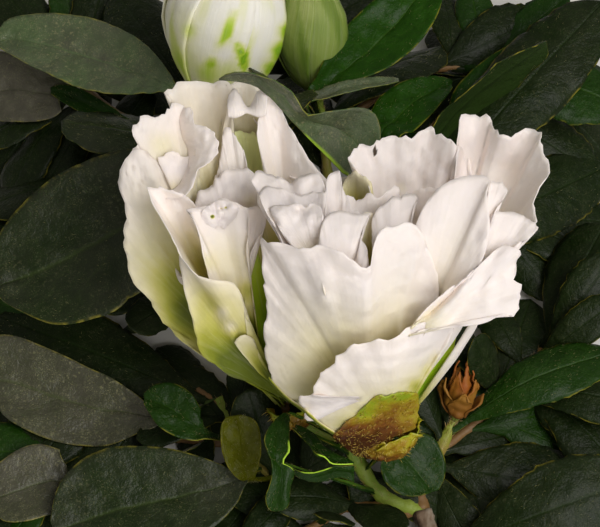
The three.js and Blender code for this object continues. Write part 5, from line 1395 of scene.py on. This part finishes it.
# The same for a leaf given by its margins
def tracedSurface(leaf, s, t, seed):
    left, right = lineAt(leaf["left"], s), lineAt(leaf["right"], s)
    across = right - left
    half = np.linalg.norm(across, axis=1)[:, None] / 2
    normal = unit(np.cross(across, unit(wayAt(leaf["left"], s) + wayAt(leaf["right"], s))))
    middle = left[:, None] + across[:, None] * ((t + 1) / 2)[..., None]
    body = np.minimum(1, half / 2)
    (broadSize, broad), (smallSize, small) = leafForm["tracedWaves"]
    lift = half * (0.1 * t * t + 0.13 * np.abs(t)) - midribGroove(half, t) * body
    lift = lift + broad * waves(middle, seed, broadSize) * (1 - t * t) * body
    lift = lift + small * waves(middle, seed + 1, smallSize) * body
    return middle + normal[:, None] * lift[..., None], np.broadcast_to(s[:, None], lift.shape), normal


def leafSurface(leaf, s, t, seed=0, fine=True):
    return tracedSurface(leaf, s, t, seed) if "left" in leaf else bladeSurface(leaf, s, t, seed, fine)


def addLeaf(pile, leaf, seed, tone, size):
    rows, columns = size
    s, x = np.linspace(0, 1, rows), np.linspace(-1, 1, columns)
    t = (np.sign(x) * np.abs(x) ** 1.15)[None]
    middle, along, _ = leafSurface(leaf, s, t, seed)
    half = bladeHalf(s, leaf["width"])[:, None]
    rib = leafForm["rib"] * np.exp(-(t * half / 0.55) ** 2) * (1 - s[:, None]) ** 1.5
    side, low, high = leaf.get("rim", (0, 0, 1))
    pile.addSheet(middle, leafForm["thickness"] * (1 - 0.5 * t * t) + rib, leafTones.index(tone), along=along,
                  across=t, rim=(t * side > 0) * ((s >= low) & (s <= high))[:, None])


# Short bright hairs lying on the upper side, as on all young azalea leaves
def leafHairs(pile, leaf, seed, count):
    dice = np.random.default_rng(seed)
    s, t = dice.uniform(0.16, 0.97, count), dice.uniform(-0.95, 0.95, count)
    middle, _, normal = leafSurface(leaf, s, t[:, None], seed)
    way = wayAt(leaf.get("points", leaf.get("left")), s)
    ways = unit(way + normal * 0.35 + dice.normal(0, 0.35, (count, 3)))
    roots = middle[:, 0] + normal * leafForm["thickness"] / 2
    lengths = dice.uniform(*leafForm["hairLength"], count)
    addHairs(pile, roots, ways, lengths, leafForm["hairThickness"], seed + 1)


def bowedLine(base, end, face, bow):
    return np.array([base, (base + end) / 2 + squareTo(face, unit(end - base)) * bow, end])


# A leaf of a whorl; one that would point down is turned up to lie nearly level
def whorlLeaf(line, at, turn, shape, droop=0.25, bow=0.09):
    base, axis = lineAt(line, at), wayAt(line, at)
    out = squareTo(vec(0, 0, 1), axis)
    out = out * math.cos(turn) + np.cross(axis, out) * math.sin(turn)
    splay = math.radians(shape["splay"])
    way = axis * math.cos(splay) + out * math.sin(splay)
    if way[2] < 0:
        way[2] *= droop
    way = unit(way)
    end = base + way * shape["length"]
    end[2] = max(end[2], leafForm["lowest"])
    face = unit(axis + vec(0, 0, 1))
    middle = (base + end) / 2 + squareTo(face, way) * shape["length"] * bow
    return {"points": np.array([base, middle, end]), "width": shape["width"], "face": face}


def frameLeaves():
    leaves = []
    for name, leaf in seenLeaves.items():
        face = sightWay(*leaf["face"])
        line = bowedLine(lineAt(shootLines[leaf["on"]], leaf["at"]), fromSight(*leaf["tip"]), face, leaf["bow"])
        leaves.append({"tone": "deepShade", **leaf, "node": f"leaf_{name}", "points": line, "face": face})
    for name, leaf in tracedLeaves.items():
        base = lineAt(shootLines[leaf["on"]], leaf["at"])
        left, right = (np.array([base + vec(side, 0, 0)] + [onPicture(*place) for place in leaf[margin]])
                       for side, margin in ((-0.4, "left"), (0.4, "right")))
        side, first, last = leaf.get("rim", (0, 0, 0))
        run = np.cumsum(np.linalg.norm(np.diff(left if side < 0 else right, axis=0), axis=1))
        rim = (side, run[first] / run[-1], run[last] / run[-1])
        leaves.append({"node": f"leaf_{name}", "left": evenLine(left, 40), "right": evenLine(right, 40),
                       "width": leafForm["tracedWidth"], "rim": rim, "tone": leaf["tone"]})
    for name, ring in whorls.items():
        line = shootLines[ring.get("on", name)]
        for k in range(ring["count"]):
            at = ring["low"] + (ring["high"] - ring["low"]) * k / (ring["count"] - 1)
            leaf = whorlLeaf(line, at, ring["turn"] + goldenAngle * k, ring)
            leaves.append({**leaf, "node": f"leaf_{name}_{k + 1}", "tone": "dark" if k % 3 == 1 else "deepShade"})
    return leaves


filling = {"seed": 77, "tries": 7000, "most": 130, "length": (16, 46), "widthShare": (0.36, 0.5),
           "height": (0.8, 14), "cells": (60, 53), "newCells": (6, 1), "clear": 0.35, "mostTouches": 27,
           "nearest": 8, "lowest": 0.6, "size": (26, 11), "samples": (np.linspace(0.12, 0.99, 11),
                                                                        np.linspace(-0.95, 0.95, 7)[None])}
roomLow = np.array(cadBounds[0]) / metre - vec(5, 3.5, 0)
roomHigh = np.array(cadBounds[1]) / metre + vec(5, 3.5, 0)
cellWidth, cellHeight = (picture[side] / count for side, count in zip(("width", "height"), filling["cells"]))


# The cells of the picture through which the eye sees no piece
def openCells(tree):
    gaps = {}
    for cell in np.ndindex(*filling["cells"]):
        through = Vector(onPicture((cell[0] + 0.5) * cellWidth, (cell[1] + 0.5) * cellHeight, 0))
        if tree.ray_cast(Vector(eyePlace), through - Vector(eyePlace))[0] is None:
            gaps[cell] = True
    print(f"gaps: {len(gaps)} of {math.prod(filling['cells'])}")
    return gaps


# Leaves that take the gaps: each grows from a shoot or twig, hides no bloom, bud or leaf in sight, and is
# kept when it closes enough of the gaps that the eye still sees
def fillingLeaves(tree):
    dice = np.random.default_rng(filling["seed"])
    lines = [shootLines[name] for name in shoots if name != "stem"] + twigLines
    starts = np.concatenate([lineAt(line, np.linspace(0.15, 1, 20)) for line in lines])
    gaps, kept = openCells(tree), []
    for attempt in range(filling["tries"]):
        if len(kept) == filling["most"] or not gaps:
            break
        i, j = list(gaps)[dice.integers(len(gaps))]
        way = unit(onPicture((i + 0.5) * cellWidth, (j + 0.5) * cellHeight, 0) - eyePlace)
        aim = eyePlace + way * (dice.uniform(*filling["height"]) - eyePlace[2]) / way[2]
        distances = np.linalg.norm(starts - aim, axis=1)
        base = starts[np.argsort(np.where(distances < filling["nearest"], 99, distances))[dice.integers(12)]]
        length = np.linalg.norm(aim - base) + dice.uniform(4, 12)
        if not filling["length"][0] < length < filling["length"][1]:
            continue
        end = base + unit(aim - base) * length
        end[2] = max(end[2], filling["lowest"])
        face = unit(vec(0, 0, 1) + dice.normal(0, 0.25, 3))
        leaf = {"points": bowedLine(base, end, face, length * dice.uniform(0.03, 0.12)),
                "width": length * dice.uniform(*filling["widthShare"]), "face": face}
        places = leafSurface(leaf, *filling["samples"], fine=False)[0].reshape(-1, 3)
        if (places < roomLow).any() or (places > roomHigh).any():
            continue
        covers, touches, closes = 0, 0, set()
        for place, pixel in zip(places, np.column_stack(toPicture(places))):
            point = Vector(place)
            away = (point - Vector(eyePlace)).normalized()
            touches += tree.find_nearest(point, filling["clear"])[0] is not None
            if tree.ray_cast(point, -away, (point - Vector(eyePlace)).length)[0] is None:
                covers += tree.ray_cast(point, away)[0] is not None
                closes.add((int(pixel[0] / cellWidth), int(pixel[1] / cellHeight)))
        closes = {cell for cell in closes if cell in gaps}
        wanted = filling["newCells"][attempt > filling["tries"] / 3]
        if covers == 0 and touches <= filling["mostTouches"] and len(closes) >= wanted:
            kept.append(leaf)
            for cell in closes:
                gaps.pop(cell)
    print(f"filling leaves: {len(kept)}, gaps left: {len(gaps)}")
    return kept


def treeOf(pieces):
    points, faces = [], []
    for piece in pieces:
        first = len(points)
        points.extend([vertex.co / metre for vertex in piece.data.vertices])
        faces.extend([[first + v for v in polygon.vertices] for polygon in piece.data.polygons])
    return BVHTree.FromPolygons(points, faces)


def makeLeaves():
    finishes = [leafFinish(tone, looks) for tone, looks in leafLooks.items()]
    leaves = frameLeaves()
    pile, hairPile, filler = Pile(*leafForm["marks"]), Pile("reach"), Pile(*leafForm["marks"])
    for k, leaf in enumerate(leaves):
        addLeaf(pile, leaf, leafSeeds["leaf"] + 10 * k, leaf["tone"], leafForm["size"])
        leafHairs(hairPile, leaf, leafSeeds["hairs"] + 10 * k, leafForm["hairs"])
    ownLeaves = pile.make("leaves", *finishes)
    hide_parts(*[leaf["node"] for leaf in leaves])
    hairs = hairPile.make("leaf_hairs", hairFinish("leaf_hair", (0.16, 0.16, 0.05), (0.42, 0.38, 0.16)))
    dice = np.random.default_rng(filling["seed"] + 1)
    for k, leaf in enumerate(fillingLeaves(treeOf(petalPieces + budPieces + [ownLeaves]))):
        # most filling leaves take the near-black tone, painted shade
        tone = "mid" if dice.random() < 0.2 else "deepShade"
        addLeaf(filler, leaf, leafSeeds["filler"] + 10 * k, tone, filling["size"])
    extraLeaves = filler.make("leaves_between", *finishes)
    for piece in (ownLeaves, hairs, extraLeaves):
        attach(piece, "root")


print("leaves")
makeLeaves()


# The plain surface below, the light and the camera
studio = {"floorHalf": 1.6, "skyColour": (1.0, 0.97, 0.89, 1.0), "skyStrength": 0.24, "lampAim": (0, 0, 0.02)}
lamps = {
    "overhead": {"place": (0.30, -0.14, 0.58), "size": 0.34, "power": 2.6, "colour": (1.0, 0.98, 0.95)},
    "fill": {"place": (0.20, -0.52, 0.42), "size": 0.44, "power": 1.95, "colour": (1.0, 0.97, 0.93)},
}


# An object at a place, turned so that its own -Z looks at the aim
def setUp(name, data, place, aim):
    made = bpy.data.objects.new(name, data)
    bpy.context.scene.collection.objects.link(made)
    made.location = place
    made.rotation_euler = (Vector(aim) - Vector(place)).to_track_quat("-Z", "Y").to_euler()
    return made


def makeFloor():
    half = studio["floorHalf"]
    corners = [(-half, -half, 0), (half, -half, 0), (half, half, 0), (-half, half, 0)]
    mesh = bpy.data.meshes.new("floor")
    mesh.from_pydata(corners, [], [(0, 1, 2, 3)])
    mesh.materials.append(floorFinish())
    floor = bpy.data.objects.new("floor", mesh)
    bpy.context.scene.collection.objects.link(floor)


def makeLight():
    for name, lamp in lamps.items():
        light = bpy.data.lights.new(name, "AREA")
        light.shape = "SQUARE"
        light.size, light.energy, light.color = lamp["size"], lamp["power"], lamp["colour"]
        setUp(name, light, lamp["place"], studio["lampAim"])
    world = bpy.data.worlds.new("studio")
    world.use_nodes = True
    sky = world.node_tree.nodes["Background"]
    sky.inputs["Color"].default_value = studio["skyColour"]
    sky.inputs["Strength"].default_value = studio["skyStrength"]
    bpy.context.scene.world = world


def makeCamera():
    camera = bpy.data.cameras.new("camera")
    camera.sensor_width = picture["sensor"]
    camera.lens = picture["sensor"] * picture["distance"] / (picture["mmPerPixel"] * picture["width"])
    camera.clip_start = 0.01
    bpy.context.scene.camera = setUp("camera", camera, eyePlace * metre, fromSight(0, 0, 0) * metre)


print("floor, light and camera")
makeFloor()
makeLight()
makeCamera()
bpy.context.scene.view_settings.view_transform = "Standard"
